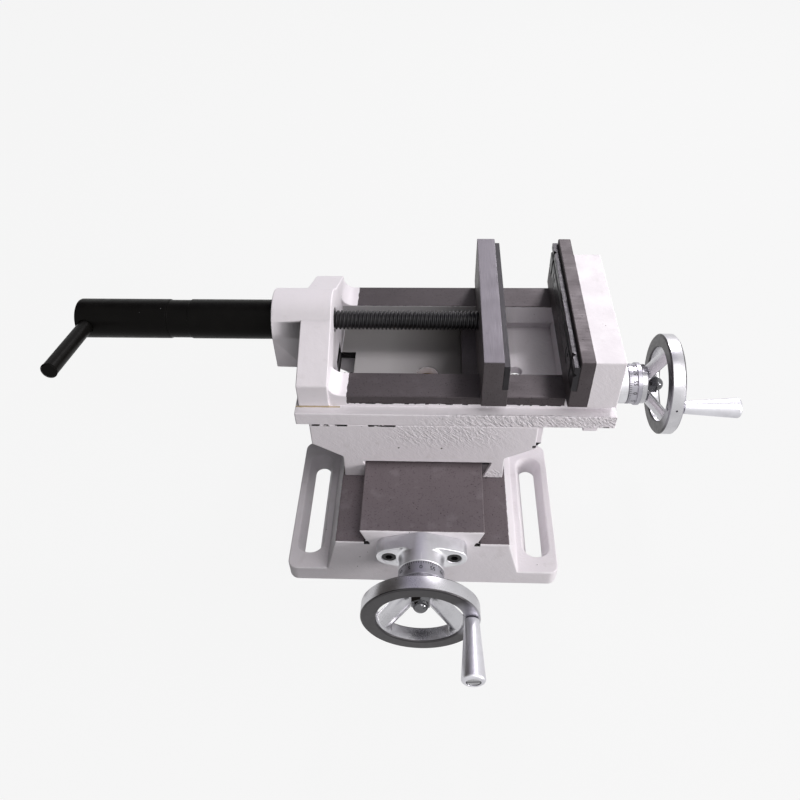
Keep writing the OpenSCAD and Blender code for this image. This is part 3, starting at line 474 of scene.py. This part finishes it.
def thread_tree():
    """A threaded rod along z from 0 to Length: a round bar whose skin is pushed in between the turns."""
    numbers = ("Length", "Crest Radius", "Root Radius", "Lead", "Hand")
    tree, given = new_tree("threaded_rod", numbers, ["Rings"])
    add = functools.partial(add_node, tree)
    calc = functools.partial(math_node, tree)
    blank = add("GeometryNodeMeshCylinder", {"Vertices": thread_sides, "Side Segments": given["Rings"],
                                             "Radius": given["Crest Radius"], "Depth": given["Length"]})
    where = add("ShaderNodeSeparateXYZ", {0: add("GeometryNodeInputPosition").outputs[0]}).outputs
    turn = calc("DIVIDE", calc("ARCTAN2", where[1], where[0]), math.tau)
    climb = calc("DIVIDE", where[2], given["Lead"])
    phase = calc("FRACT", calc("SUBTRACT", climb, calc("MULTIPLY", turn, given["Hand"])))
    ramp = calc("MULTIPLY", calc("ABSOLUTE", calc("SUBTRACT", phase, 0.5)), 2.0)
    flank = {0: ramp, 1: 0.3, 2: 0.62, 3: 0.0, 4: 1.0}
    crest = add("ShaderNodeMapRange", flank, clamp=True).outputs[0]
    depth = calc("SUBTRACT", given["Crest Radius"], given["Root Radius"])
    radius = calc("MULTIPLY_ADD", crest, depth, given["Root Radius"])
    share = calc("DIVIDE", radius, given["Crest Radius"])
    moved = add("ShaderNodeCombineXYZ", {0: calc("MULTIPLY", where[0], share),
                                         1: calc("MULTIPLY", where[1], share),
                                         2: calc("MULTIPLY_ADD", given["Length"], 0.5, where[2])})
    inputs = {"Geometry": blank.outputs["Mesh"], "Position": moved.outputs[0]}
    cut = add("GeometryNodeSetPosition", inputs)
    smooth = add("GeometryNodeSetShadeSmooth", {"Geometry": cut.outputs[0]})
    return ended_tree(tree, given, smooth.outputs[0])


def grown(name, tree, values):
    """The plain mesh object that a node tree gives for these named inputs."""
    piece = placed(name, bpy.data.meshes.new(name))
    grow = piece.modifiers.new("grow", "NODES")
    grow.node_group = tree
    for item in tree.interface.items_tree:
        if item.in_out == "INPUT" and item.name in values:
            grow[item.identifier] = values[item.name]
    made_plain(piece)
    dress(piece, values["Material"])
    return piece


def rod(name, length, crest, lead, hand, material):
    """A threaded rod along z; hand is 1 for a right-hand thread and -1 for a left-hand one."""
    rings = max(2, round(length/abs(lead)*rings_per_turn))
    return grown(name, threaded_rod, {
        "Length": length, "Crest Radius": crest, "Root Radius": crest - root_share*lead,
        "Lead": lead, "Hand": hand, "Rings": rings, "Material": material})


def bared(piece, threaded):
    """Takes off the faces whose middle is where threaded(middle) holds, to make room for a thread."""
    with opened(piece.data) as shell:
        plain = [face for face in shell.faces if threaded(face.calc_center_median())]
        bmesh.ops.delete(shell, geom=plain, context="FACES")


def joined(piece, other, place):
    """Adds another mesh, put in place, to a piece."""
    other.data.transform(place)
    with opened(piece.data) as shell:
        shell.from_mesh(other.data)
    bpy.data.objects.remove(other)


turned_steel = Finish("turned_steel", Metallic=1.0)
steel_tone = turned_steel.mix(turned_steel.noise(8*mm, 5.0), (0.3, 0.3, 0.31), (0.42, 0.42, 0.43))
turned_steel.put("Base Color", steel_tone)
turned_steel.rough(2*mm, 0.25, 0.42)
turned_steel.bump(turned_steel.noise(0.3*mm), 0.01*mm)
threaded_rod = thread_tree()
lead = math.tau/abs(frame["record"]["behaviour"]["couplings"][0]["ratio"])
lead_screw_r = 7*mm
collar_l = 6*mm
thread_lap = 0.2*mm
for side, drive in drives.items():
    node = f"{drive.letter}_lead_screw"
    inside = drive.seat.inverted()
    low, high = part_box(node)
    length = abs((inside @ (high if side == "front" else low)).z)
    screw = rounded(node, f"{side}_lead_screw_bar", 0.3*mm)
    bared(screw, lambda middle: (inside @ middle).z < -collar_l - thread_lap)
    dress(screw, turned_steel.material)
    thread_l = length - collar_l + thread_lap
    thread = rod(f"{side}_thread", thread_l, lead_screw_r, lead, 1, turned_steel.material)
    joined(screw, thread, drive.seat @ Matrix.Translation((0, 0, -length)))

# Dials: aluminium rings on the screws, turned and polished, with a raised bead at the wheel's side.
# Sixty engraved and inked lines give 0.05 mm each; every fifth is longer and numbered.
# A pale zero line is cut in the bracket's nose beside each dial.

divisions = 60
numbered_step = 5
nose_low, nose_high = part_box("front_bracket")
nose_r = (nose_high.z - nose_low.z)/2
nose_l = nose_high.y - nose_low.y
line_height = 0.08*mm
line_width = 0.36*mm
short_line = 1.7*mm
long_line = 2.7*mm
line_start = nose_l + 0.3*mm
figure_size = 4.4*mm
figure_start = nose_l + 2.15*mm
figure_height = 0.03*mm
figure_weight = 0.1*mm
zero_line = (0.1*mm, 0.4*mm, 6*mm)
zero_middle = nose_l - 4*mm


def graduation_tree():
    """Lines around a ring about z: every fifth line is longer."""
    tree, given = new_tree("graduations", ("Radius", "Line Width", "Short Line", "Long Line"), ["Count"])
    add = functools.partial(add_node, tree)
    calc = functools.partial(math_node, tree)
    ring = add("GeometryNodeMeshCircle", {"Vertices": given["Count"], "Radius": given["Radius"]})
    size = add("ShaderNodeCombineXYZ", {0: line_height, 1: given["Line Width"], 2: 1.0})
    line = add("GeometryNodeMeshCube", {"Size": size.outputs[0]})
    lift = add("GeometryNodeTransform", {"Geometry": line.outputs["Mesh"], "Translation": (0, 0, 0.5)})
    order = add("GeometryNodeInputIndex").outputs[0]
    is_long = calc("LESS_THAN", calc("MODULO", order, numbered_step), 0.5)
    length = add("ShaderNodeMix", {0: is_long, 2: given["Short Line"], 3: given["Long Line"]})
    stretch = add("ShaderNodeCombineXYZ", {0: 1.0, 1: 1.0, 2: length.outputs[0]})
    turn = calc("MULTIPLY", order, calc("DIVIDE", math.tau, given["Count"]))
    spin = add("ShaderNodeCombineXYZ", {2: turn})
    spread = add("GeometryNodeInstanceOnPoints", {
        "Points": ring.outputs["Mesh"], "Instance": lift.outputs[0],
        "Rotation": spin.outputs[0], "Scale": stretch.outputs[0]})
    return ended_tree(tree, given, spread.outputs[0])


def numeral(text, size, radius, angle, up):
    """A number bent round a cylinder about z, read from outside with its top towards -z."""
    curve = bpy.data.curves.new("numeral", "FONT")
    curve.body = text
    curve.size = size
    curve.align_x = "CENTER"
    curve.extrude = figure_height
    curve.offset = figure_weight
    curve.resolution_u = 3
    figure = placed("numeral", curve)
    mesh = plain_mesh(figure)
    bpy.data.objects.remove(figure)
    for vertex in mesh.vertices:
        across, along, proud = vertex.co
        turn = angle - across/radius
        reach = radius + proud
        vertex.co = (reach*math.cos(turn), reach*math.sin(turn), up + size - along)
    return mesh


def bar(name, size, place, material):
    """A small straight bar, such as an engraved and filled line."""
    mesh = bpy.data.meshes.new(name)
    with opened(mesh) as shell:
        bmesh.ops.create_cube(shell, size=1.0, matrix=place @ Matrix.Diagonal((*size, 1)))
    mesh.materials.append(material)
    return placed(name, mesh)


line_ink = Finish("line_ink", Roughness=0.6)
ink_tone = line_ink.mix(line_ink.noise(0.6*mm), (0.004, 0.004, 0.005), (0.014, 0.014, 0.016))
line_ink.put("Base Color", ink_tone)
line_pale = Finish("line_pale", Roughness=0.5)
pale_tone = line_pale.mix(line_pale.noise(0.6*mm), (0.86, 0.85, 0.88), (0.7, 0.69, 0.72))
line_pale.put("Base Color", pale_tone)
graduations = graduation_tree()
dial_tone = (0.44, 0.43, 0.475)
dial_grain = {"front": (60, 1, 60), "right": (1, 60, 60)}
zero_turn = {"front": math.radians(90), "right": math.radians(165)}
for side, drive in drives.items():
    dial = f"{drive.letter}_dial"
    dial_metal = polished_aluminium(f"{side}_dial_metal", dial_tone, 0.38, dial_grain[side])
    dress(rounded(dial, f"{side}_dial_ring", 0.35*mm), dial_metal)
    to_zero = Matrix.Rotation(zero_turn[side], 4, "Z")
    lines = grown(f"{side}_dial_lines", graduations, {
        "Count": divisions, "Radius": nose_r, "Line Width": line_width, "Short Line": short_line,
        "Long Line": long_line, "Material": line_ink.material})
    lines.data.transform(Matrix.Translation((0, 0, line_start)) @ to_zero)
    with opened(lines.data) as shell:
        for number in range(0, divisions, numbered_step):
            turn = zero_turn[side] + number/divisions*math.tau
            shell.from_mesh(numeral(str(number), figure_size, nose_r, turn, figure_start))
    lines.data.transform(drive.seat)
    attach(lines, nodes[dial]["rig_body"])
    zero_place = drive.seat @ to_zero @ Matrix.Translation((nose_r, 0, zero_middle))
    zero = bar(f"{side}_zero_line", zero_line, zero_place, line_pale.material)
    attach(zero, nodes[drive.bracket]["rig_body"])

# Handwheels: dished aluminium castings with three lens-shaped spokes, their rims turned and polished.
# The rim's outside and the spokes are bright; its two side faces are dark grey, a painted reflection of a
# dark room, with a painted reflection of the grip round its foot.
# Each sits on its screw's stub under a washer and a domed chromed nut; a small hole locks the handle.

chrome = Finish("dark_chrome", Metallic=1.0)
chrome.put("Base Color", chrome.mix(chrome.noise(3*mm), (0.11, 0.11, 0.115), (0.17, 0.17, 0.18)))
chrome.rough(2*mm, 0.07, 0.16)
spoke_tone = (0.54, 0.535, 0.56)
rim_tone = (0.58, 0.575, 0.6)
side_reflection_tone = (0.06, 0.057, 0.06)
grip_reflection_tone = (0.4, 0.39, 0.43)
no_grain = (1, 1, 1)
rim_in = 30.5*mm
rim_t = 11.4*mm
lock_hole = (1.8*mm, 1.8*mm, 6*mm)


def drilled(name, size, place):
    """A round plug that a hole is cut with."""
    mesh = bpy.data.meshes.new(name)
    with opened(mesh) as shell:
        bmesh.ops.create_cone(shell, cap_ends=True, segments=24, radius1=0.5, radius2=0.5, depth=1.0,
                              matrix=place @ Matrix.Diagonal((*size, 1)))
    return placed(name, mesh)


def rim_side(name, reflection_point):
    """A rim's side face, painted dark as a painted reflection, with a painted reflection of the grip round
    the grip's foot.
    """
    finish = Finish(name, Metallic=1.0)
    reflected = finish.near(reflection_point, 9*mm, 24*mm)
    finish.put("Base Color", finish.mix(reflected, side_reflection_tone, grip_reflection_tone))
    finish.rough(3*mm, 0.3, 0.42)
    finish.bump(finish.noise(0.5*mm), 0.01*mm)
    return finish.material


for side, drive in drives.items():
    inside = drive.seat.inverted()
    axes = drive.seat.to_3x3()
    out = axes @ Vector((0, 0, 1))
    foot = inside @ Vector(joint_named(f"{drive.letter}_grip_spin")["pos_m"])
    wheel_low, wheel_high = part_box(f"{drive.letter}_handwheel")
    wheel_r = (wheel_high.z - wheel_low.z)/2
    rim_top = max((inside @ corner).z for corner in (wheel_low, wheel_high))
    toward = Vector((foot.x, foot.y, 0)).normalized()
    hole_turn = (axes @ toward).to_track_quat("Z", "Y").to_matrix().to_4x4()
    hole_middle = drive.seat @ (toward*wheel_r + Vector((0, 0, rim_top - rim_t/2)))
    plug = drilled(f"{side}_lock_hole", lock_hole, Matrix.Translation(hole_middle) @ hole_turn)
    wheel = rounded(f"{drive.letter}_handwheel", f"{side}_handwheel_casting", 0, angle=60, hole=plug)
    bpy.data.objects.remove(plug)
    spoke_metal = polished_aluminium(f"{side}_wheel_bright", spoke_tone, 0.24, no_grain, 0.008*mm)
    side_metal = rim_side(f"{side}_wheel_side_reflection", drive.seat @ Vector((foot.x, foot.y, rim_top)))
    rim_metal = polished_aluminium(f"{side}_rim_metal", rim_tone, 0.3, no_grain, 0.008*mm)
    dress(wheel, spoke_metal, side_metal, rim_metal)
    for face in wheel.data.polygons:
        corners = [inside @ wheel.data.vertices[i].co for i in face.vertices]
        if min(math.hypot(corner.x, corner.y) for corner in corners) > rim_in:
            face.material_index = 1 if abs(face.normal.dot(out)) > 0.6 else 2
    dress(nodes[f"{drive.letter}_wheel_washer"], turned_steel.material)
    dress(rounded(f"{drive.letter}_wheel_nut", f"{side}_wheel_nut_dome", 0.25*mm), chrome.material)

# Revolving grips: aluminium handles, turned on a lathe and left with a satin finish.
# Each spins on a slotted shoulder screw of turned steel that is screwed into the rim.

grip_tone = (0.7, 0.695, 0.735)
grip_grain = {"front": (40, 1, 40), "right": (1, 40, 40)}
for side, drive in drives.items():
    satin = polished_aluminium(f"{side}_grip_satin", grip_tone, 0.4, grip_grain[side], 0.006*mm)
    dress(rounded(f"{drive.letter}_handle_grip", f"{side}_grip", 0.3*mm), satin)
    dress(nodes[f"{drive.letter}_handle_spindle"], turned_steel.material)

# Saddle: the middle casting, painted white, with its underside milled bare.
# It slides on the base's dovetail and carries the vise on a dovetail of its own.
# The filler and paint on its front are crinkled, and chipped to black along the top edge.

saddle_low, saddle_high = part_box("saddle")
top_chips_end = -20*mm
pit_places = [(-19*mm, saddle_low.y, 88*mm), (14*mm, saddle_low.y, 88*mm)]
step_low = (83*mm, -far, 90*mm)
step_high = (90*mm, saddle_low.y + 5*mm, 92.4*mm)


def saddle_ways(finish):
    """The underside that slides on the base's flats."""
    low = (-far, -far, saddle_low.z - 1*mm)
    return finish.zone(low, (far, far, saddle_low.z + 0.5*mm), 0.8*mm)


def on_front(finish, front_y):
    """1 on a front face and little behind it."""
    return finish.span(finish.axis(1), front_y + 2*mm, front_y + 0.5*mm, least_crinkle, 1.0)


def saddle_crinkle(finish):
    """Crinkled filler high on the front, and on the right foot."""
    along = finish.axis(0)
    height = finish.axis(2)
    left = finish.span(along, -40*mm, -10*mm)
    right = finish.span(along, 72*mm, 48*mm)
    patch = finish.calc("MULTIPLY", left, right, finish.span(height, 86*mm, 100*mm, 0.1, 0.65))
    foot_side = finish.span(along, 44*mm, 48*mm)
    foot = finish.calc("MULTIPLY", foot_side, finish.span(height, 64*mm, 59*mm))
    strength = finish.calc("MAXIMUM", patch, foot, least_crinkle)
    return finish.calc("MULTIPLY", strength, on_front(finish, saddle_low.y))


def broken_edge(finish, low, high, share):
    """Chips along an edge: the lower the share, the more of the edge is broken."""
    band = finish.zone(low, high, 0.7*mm, 1.5*mm)
    return finish.calc("MULTIPLY", band, finish.span(finish.noise(7*mm, 5.0), share, share + 0.03))


def saddle_chips(finish, tone):
    """Broken paint along the top edge, a black mark along the right step, and two small pits."""
    top_low = (saddle_low.x, saddle_low.y - 1*mm, saddle_high.z - 1.3*mm)
    top = broken_edge(finish, top_low, (top_chips_end, saddle_low.y + 2*mm, far), 0.48)
    step = finish.zone(step_low, step_high, 0.6*mm)
    pits = [finish.near(place, 0.5*mm, 0.9*mm) for place in pit_places]
    return finish.mix(finish.calc("MAXIMUM", *pits, top, step), tone, black_oil_and_shade)


saddle_paint = painted_casting("saddle_paint", saddle_ways, along_x, 1.0, saddle_crinkle, saddle_chips)
dress(rounded("saddle", "saddle_casting", 0.9*mm, 3), saddle_paint)

# Nuts and gibs: bronze nuts screwed to the saddle, one for each lead screw.
# The gibs are ground steel strips that take up the slides' play; the jaw screw's pin is of the same steel.

bronze = Finish("bronze", Metallic=1.0)
bronze.put("Base Color", bronze.mix(bronze.noise(6*mm, 5.0), (0.5, 0.33, 0.14), (0.38, 0.24, 0.1)))
bronze.rough(2*mm, 0.3, 0.5)
bronze.bump(bronze.noise(0.5*mm, 2.0, (30, 1, 1)), 0.02*mm)
for node in ("y_nut", "x_nut"):
    dress(nodes[node], bronze.material)
for node in ("y_gib", "x_gib", "jaw_screw_pin"):
    dress(nodes[node], turned_steel.material)

# Vise body: one casting with the slide plate, two rails, the screw post with its boss and the fixed jaw.
# Rails and jaw head are milled bare after painting; the paint along the rails is ragged and chipped.

body_low, body_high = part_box("vise_body")
front_y = body_low.y
middle_y = (body_low.y + body_high.y)/2
plate_z = saddle_high.z + 0.05*mm
plate_top_z = 124.75*mm
rail_foot_z = 127.6*mm
rail_z = 134.95*mm
rail_start = -57*mm
rail_half = 66.6*mm
rail_front_y = middle_y - rail_half
pocket_half = 41*mm
pocket_z = 107*mm
pocket_corner = (109.5*mm, 108*mm)
# The pocket's tones are painted shade with grime: the wall darkens below the rails' lips and the floor
# darkens towards the moving jaw.
wall_shade_span = (122*mm, 131*mm)
floor_shade_span = (-30*mm, 40*mm)
shade_end_x = (75*mm, 45*mm)
jaw_head_x = (103.4*mm, 117.65*mm)
post_face_x = -70.15*mm
way_half = 13.2*mm
way_z = (90*mm, 120.1*mm)
seam_y = (front_y + 6.9*mm, front_y + 8.4*mm)
seam_z = (124.2*mm, 125.9*mm)
corner_chip_x = (133*mm, 137*mm)
wall_shade_tone = (0.075, 0.072, 0.062)
wall_high_tone = (0.42, 0.41, 0.42)
floor_left_tone = (0.34, 0.33, 0.33)
floor_shade_tone = (0.06, 0.054, 0.05)
dried_oil = (0.42, 0.32, 0.15)


def milled_body(finish):
    """The rails' tops and sides, but not the pocket between them, and the fixed jaw's head."""
    rails = finish.zone((rail_start, rail_front_y, rail_foot_z),
                        (jaw_head_x[0], middle_y + rail_half, rail_z + 1*mm), 1.6*mm)
    pocket = finish.zone((rail_start - 2*mm, middle_y - pocket_half, 0),
                         (far, middle_y + pocket_half, rail_z - 0.6*mm), 0.6*mm)
    rails = finish.calc("MULTIPLY", rails, finish.calc("SUBTRACT", 1.0, pocket))
    head = finish.zone((jaw_head_x[0] - 2*mm, -far, rail_z - 0.4*mm), (jaw_head_x[1], far, far), 0.5*mm)
    return finish.calc("MAXIMUM", rails, head)


def pocket_grime(finish, tone):
    """Painted shade and grime in the pocket between the rails: darker below the lips and towards the moving
    jaw, fading out towards the fixed jaw.
    """
    along = finish.axis(0)
    height = finish.axis(2)
    wall = finish.mix(finish.span(height, *wall_shade_span), wall_shade_tone, wall_high_tone)
    bottom = finish.mix(finish.span(along, *floor_shade_span), floor_left_tone, floor_shade_tone)
    shade_and_grime = finish.mix(finish.span(height, *pocket_corner), wall, bottom)
    reach = pocket_half + 10*mm
    pocket = finish.zone((post_face_x + 0.6*mm, middle_y - reach, pocket_z),
                         (jaw_head_x[0], middle_y + reach, rail_z - 0.3*mm), 0.5*mm)
    return finish.mix(finish.calc("MULTIPLY", pocket, finish.span(along, *shade_end_x)), tone, shade_and_grime)


def body_marks(finish, tone):
    """Painted shade and grime in the pocket, the way under the post painted black as shade, oil along its
    foot and broken paint along the edges.
    """
    tone = pocket_grime(finish, tone)
    seam = finish.zone((-far, seam_y[0], seam_z[0]), (post_face_x + 8*mm, seam_y[1], seam_z[1]), 0.5*mm, 3*mm)
    tone = finish.mix(finish.calc("MULTIPLY", seam, 0.8), tone, dried_oil)
    # The way under the post is painted black as shade.
    way = finish.zone((-far, middle_y - way_half, way_z[0]),
                      (post_face_x + 12.2*mm, middle_y + way_half, way_z[1]), 0.3*mm)
    corner = finish.zone((corner_chip_x[0], front_y - 1*mm, plate_z - 1*mm),
                         (corner_chip_x[1], front_y + 2*mm, plate_z + 1.6*mm), 1.2*mm, 2*mm)
    rail = broken_edge(finish, (rail_start, rail_front_y - 1*mm, rail_foot_z - 0.7*mm),
                       (jaw_head_x[0], rail_front_y + 2*mm, rail_foot_z + 0.4*mm), 0.5)
    return finish.mix(finish.calc("MAXIMUM", way, corner, rail), tone, black_oil_and_shade)


def plate_crinkle(finish):
    """Crinkled filler on the plate's front that grows stronger to the right."""
    along = finish.span(finish.axis(0), -15*mm, 55*mm, least_crinkle, 1.3)
    below = finish.span(finish.axis(2), plate_top_z + 1*mm, plate_top_z, 0.1, 1.0)
    return finish.calc("MULTIPLY", along, on_front(finish, front_y), below)


# The vise's iron is darkened to 0.54 of its tone, as painted shade.
vise_paint = painted_casting("vise_paint", milled_body, along_x, 0.54, plate_crinkle, body_marks)
dress(rounded("vise_body", "vise_casting", 0.9*mm, 3, outer_only=True), vise_paint)

# Jaw plates: hardened steel, ground and blackened, each held to its jaw by countersunk screws.
# The fixed one has V grooves for round work.

jaw_black = Finish("jaw_black", Metallic=0.7)
jaw_tone = jaw_black.mix(jaw_black.noise(10*mm, 6.0), (0.012, 0.012, 0.014), (0.035, 0.032, 0.036))
jaw_black.put("Base Color", jaw_tone)
jaw_black.rough(3*mm, 0.3, 0.5)
jaw_black.bump(jaw_black.noise(0.4*mm, 2.0, (1, 30, 1)), 0.03*mm)
for node in ("fixed_jaw_plate", "moving_jaw_plate"):
    dress(rounded(node, node.replace("_plate", "_steel"), 0.2*mm), jaw_black.material)

# Moving jaw: a block of bare iron, milled on its sides and ground on top.
# It slides on the rails, and a keeper plate under their lips holds it down.

jaw_low, jaw_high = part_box("moving_jaw")
ground_tone = (0.165, 0.152, 0.175)
jaw_iron = Finish("jaw_iron", Metallic=iron_metallic)
# The moving jaw's iron is darkened to 0.5 of its tone, as painted shade.
iron_tone, iron_gloss, iron_height = bare_iron(jaw_iron, (1, 30, 1), 0.5)
ground_top = jaw_iron.zone((-far, -far, jaw_high.z - 0.5*mm), (far, far, far), 0.5*mm)
jaw_iron.put("Base Color", jaw_iron.mix(ground_top, iron_tone, ground_tone))
jaw_iron.put("Roughness", iron_gloss)
jaw_iron.bump(iron_height, skin_depth)
dress(rounded("moving_jaw", "moving_jaw_block", 0.6*mm, 2), jaw_iron.material)
dress(nodes["jaw_keeper"], jaw_iron.material)

# Jaw screw: turned and blackened steel with a coarse left-hand thread.
# It is pinned in the moving jaw so that it can't turn, and the sleeve turns on it.

screw_low, screw_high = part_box("jaw_screw")
jaw_screw_r = 7.5*mm
jaw_axis_z = (screw_low.z + screw_high.z)/2
jaw_face_x = jaw_low.x
screw_bar = rounded("jaw_screw", "jaw_screw_bar", 0.3*mm)
bared(screw_bar, lambda middle: middle.x < jaw_face_x - 0.01*mm)
dress(screw_bar, black_steel.material)
screw_end = Matrix.Translation((screw_low.x, middle_y, jaw_axis_z))
jaw_thread = rod("jaw_thread", jaw_face_x - screw_low.x, jaw_screw_r, lead, -1, black_steel.material)
joined(screw_bar, jaw_thread, screw_end @ Matrix.Rotation(math.radians(90), 4, "Y"))

# Sleeve and handle bar: the sleeve is the jaw screw's long nut, held in the boss by a screw in its groove.
# Both are turned steel, blackened, with oil on them; the bar is locked in the sleeve's end.

sleeve_black = Finish("sleeve_black", Specular_IOR_Level=0.05)
sleeve_cloud = sleeve_black.noise(12*mm, 5.0)
sleeve_tone = sleeve_black.mix(sleeve_cloud, (0.003, 0.0028, 0.0026), (0.007, 0.0065, 0.006))
specks = sleeve_black.spots(6*mm, 0.06)
sleeve_black.put("Base Color", sleeve_black.mix(specks, sleeve_tone, (0.16, 0.16, 0.165)))
sleeve_black.rough(6*mm, 0.26, 0.42)
sleeve_black.bump(sleeve_black.noise(0.4*mm, 2.0, (1, 30, 30)), 0.015*mm)
dress(rounded("screw_sleeve", "sleeve_tube", 0.5*mm), sleeve_black.material)
dress(rounded("handle_bar", "handle_bar_rod", 0.4*mm), sleeve_black.material)

# Studio: a pale floor, a key light at the right rear, a fill low at the right and a soft lamp high
# over the right front. The white world gives less light from the left.
# Two cards that only reflections see give the polished metal its shades: dark at the left, mauve behind.

scene = bpy.context.scene
scene.view_settings.view_transform = "Standard"
centre = Vector((0.0, 0.02, 0.08))
floor_size = 30.0
floor_drop = -0.2*mm
floor_glow = 0.9
sky_level = 0.42


def card(name, size, place, aim, material):
    """A square sheet of the studio that faces a point."""
    mesh = bpy.data.meshes.new(name)
    half = size/2
    corners = [(-half, -half, 0), (half, -half, 0), (half, half, 0), (-half, half, 0)]
    mesh.from_pydata(corners, [], [(0, 1, 2, 3)])
    mesh.materials.append(material)
    made = placed(name, mesh)
    made.location = place
    made.rotation_euler = (Vector(aim) - Vector(place)).to_track_quat("Z", "Y").to_euler()
    return made


def light_path(tree):
    """1 for what the camera, a reflection or a refraction sees, 0 for light on the object."""
    path = add_node(tree, "ShaderNodeLightPath").outputs
    seen = math_node(tree, "MAXIMUM", path["Is Camera Ray"], path["Is Glossy Ray"])
    return math_node(tree, "MAXIMUM", seen, path["Is Transmission Ray"])


def lamp(name, place, size, power, tint):
    """A square lamp that shines on the middle of the vise."""
    data = bpy.data.lights.new(name, "AREA")
    data.size = size
    data.energy = power
    data.color = tint
    made = placed(name, data)
    made.location = place
    made.rotation_euler = (centre - Vector(place)).to_track_quat("-Z", "Y").to_euler()


floor_white = bpy.data.materials.new("floor_white")
floor_white.use_nodes = True
floor_tree = floor_white.node_tree
floor_paper = floor_tree.nodes["Principled BSDF"]
floor_look = {"Base Color": (0.25, 0.25, 0.25, 1), "Roughness": 0.9, "Specular IOR Level": 0.0}
for socket, value in floor_look.items():
    feed(floor_tree, floor_paper.inputs[socket], value)
glow = add_node(floor_tree, "ShaderNodeEmission")
share = math_node(floor_tree, "MULTIPLY", light_path(floor_tree), floor_glow)
floor_mix = {0: share, 1: floor_paper.outputs[0], 2: glow.outputs[0]}
mixed = add_node(floor_tree, "ShaderNodeMixShader", floor_mix)
feed(floor_tree, floor_tree.nodes["Material Output"].inputs["Surface"], mixed.outputs[0])
card("floor", floor_size, (0, 0, floor_drop), (0, 0, 1), floor_white)

cards = {
    "left_card": (2.2, (-1.4, 0.3, 0.6), (0.06, 0.052, 0.045)),
    "back_card": (1.8, (-0.15, 1.0, 1.7), (0.36, 0.34, 0.42)),
}
for name, (size, place, tone) in cards.items():
    paper = bpy.data.materials.new(name)
    paper.use_nodes = True
    paper_tree = paper.node_tree
    shine = add_node(paper_tree, "ShaderNodeEmission", {"Color": colour(tone)})
    feed(paper_tree, paper_tree.nodes["Material Output"].inputs["Surface"], shine.outputs[0])
    made = card(name, size, place, centre, paper)
    made.visible_camera = False
    made.visible_diffuse = False
    made.visible_shadow = False

world = bpy.data.worlds.new("studio_white")
world.use_nodes = True
scene.world = world
sky_tree = world.node_tree
sky = sky_tree.nodes["Background"]
direction = add_node(sky_tree, "ShaderNodeTexCoord").outputs["Generated"]
sideways = add_node(sky_tree, "ShaderNodeSeparateXYZ", {0: direction}).outputs[0]
left_to_right = {0: sideways, 1: -1.0, 2: 1.0, 3: 0.0, 4: sky_level}
level = add_node(sky_tree, "ShaderNodeMapRange", left_to_right).outputs[0]
feed(sky_tree, sky.inputs["Strength"], math_node(sky_tree, "MAXIMUM", light_path(sky_tree), level))
feed(sky_tree, sky.inputs["Color"], (1, 1, 1, 1))

lamp("key_light", (0.48, 1.07, 0.99), 0.28, 11.0, (1.0, 0.965, 1.0))
lamp("fill_light", (1.5, -0.75, 0.5), 0.5, 17.5, (1.0, 0.97, 0.97))
lamp("top_light", (0.55, -0.6, 1.4), 1.0, 10.0, (1.0, 0.97, 0.98))

# Camera: it stands in front of the vise and looks down on it by about 45 degrees.
# Its place, angles and lens were fitted to the edges in the photograph.

camera_place = Vector((7.53, -382.40, 528.38))*mm
camera_yaw = math.radians(-3.65)
camera_pitch = math.radians(45.49)
camera_roll = math.radians(-1.93)
camera_lens = 33.93
level_reach = math.cos(camera_pitch)
sight = Vector((math.sin(camera_yaw)*level_reach, math.cos(camera_yaw)*level_reach, -math.sin(camera_pitch)))
camera_data = bpy.data.cameras.new("camera")
camera_data.sensor_width = 36
camera_data.lens = camera_lens
camera_data.clip_start = 0.01
camera = placed("camera", camera_data)
camera.location = camera_place
camera.rotation_euler = (sight.to_track_quat("-Z", "Y") @ Quaternion((0, 0, 1), camera_roll)).to_euler()
scene.camera = camera
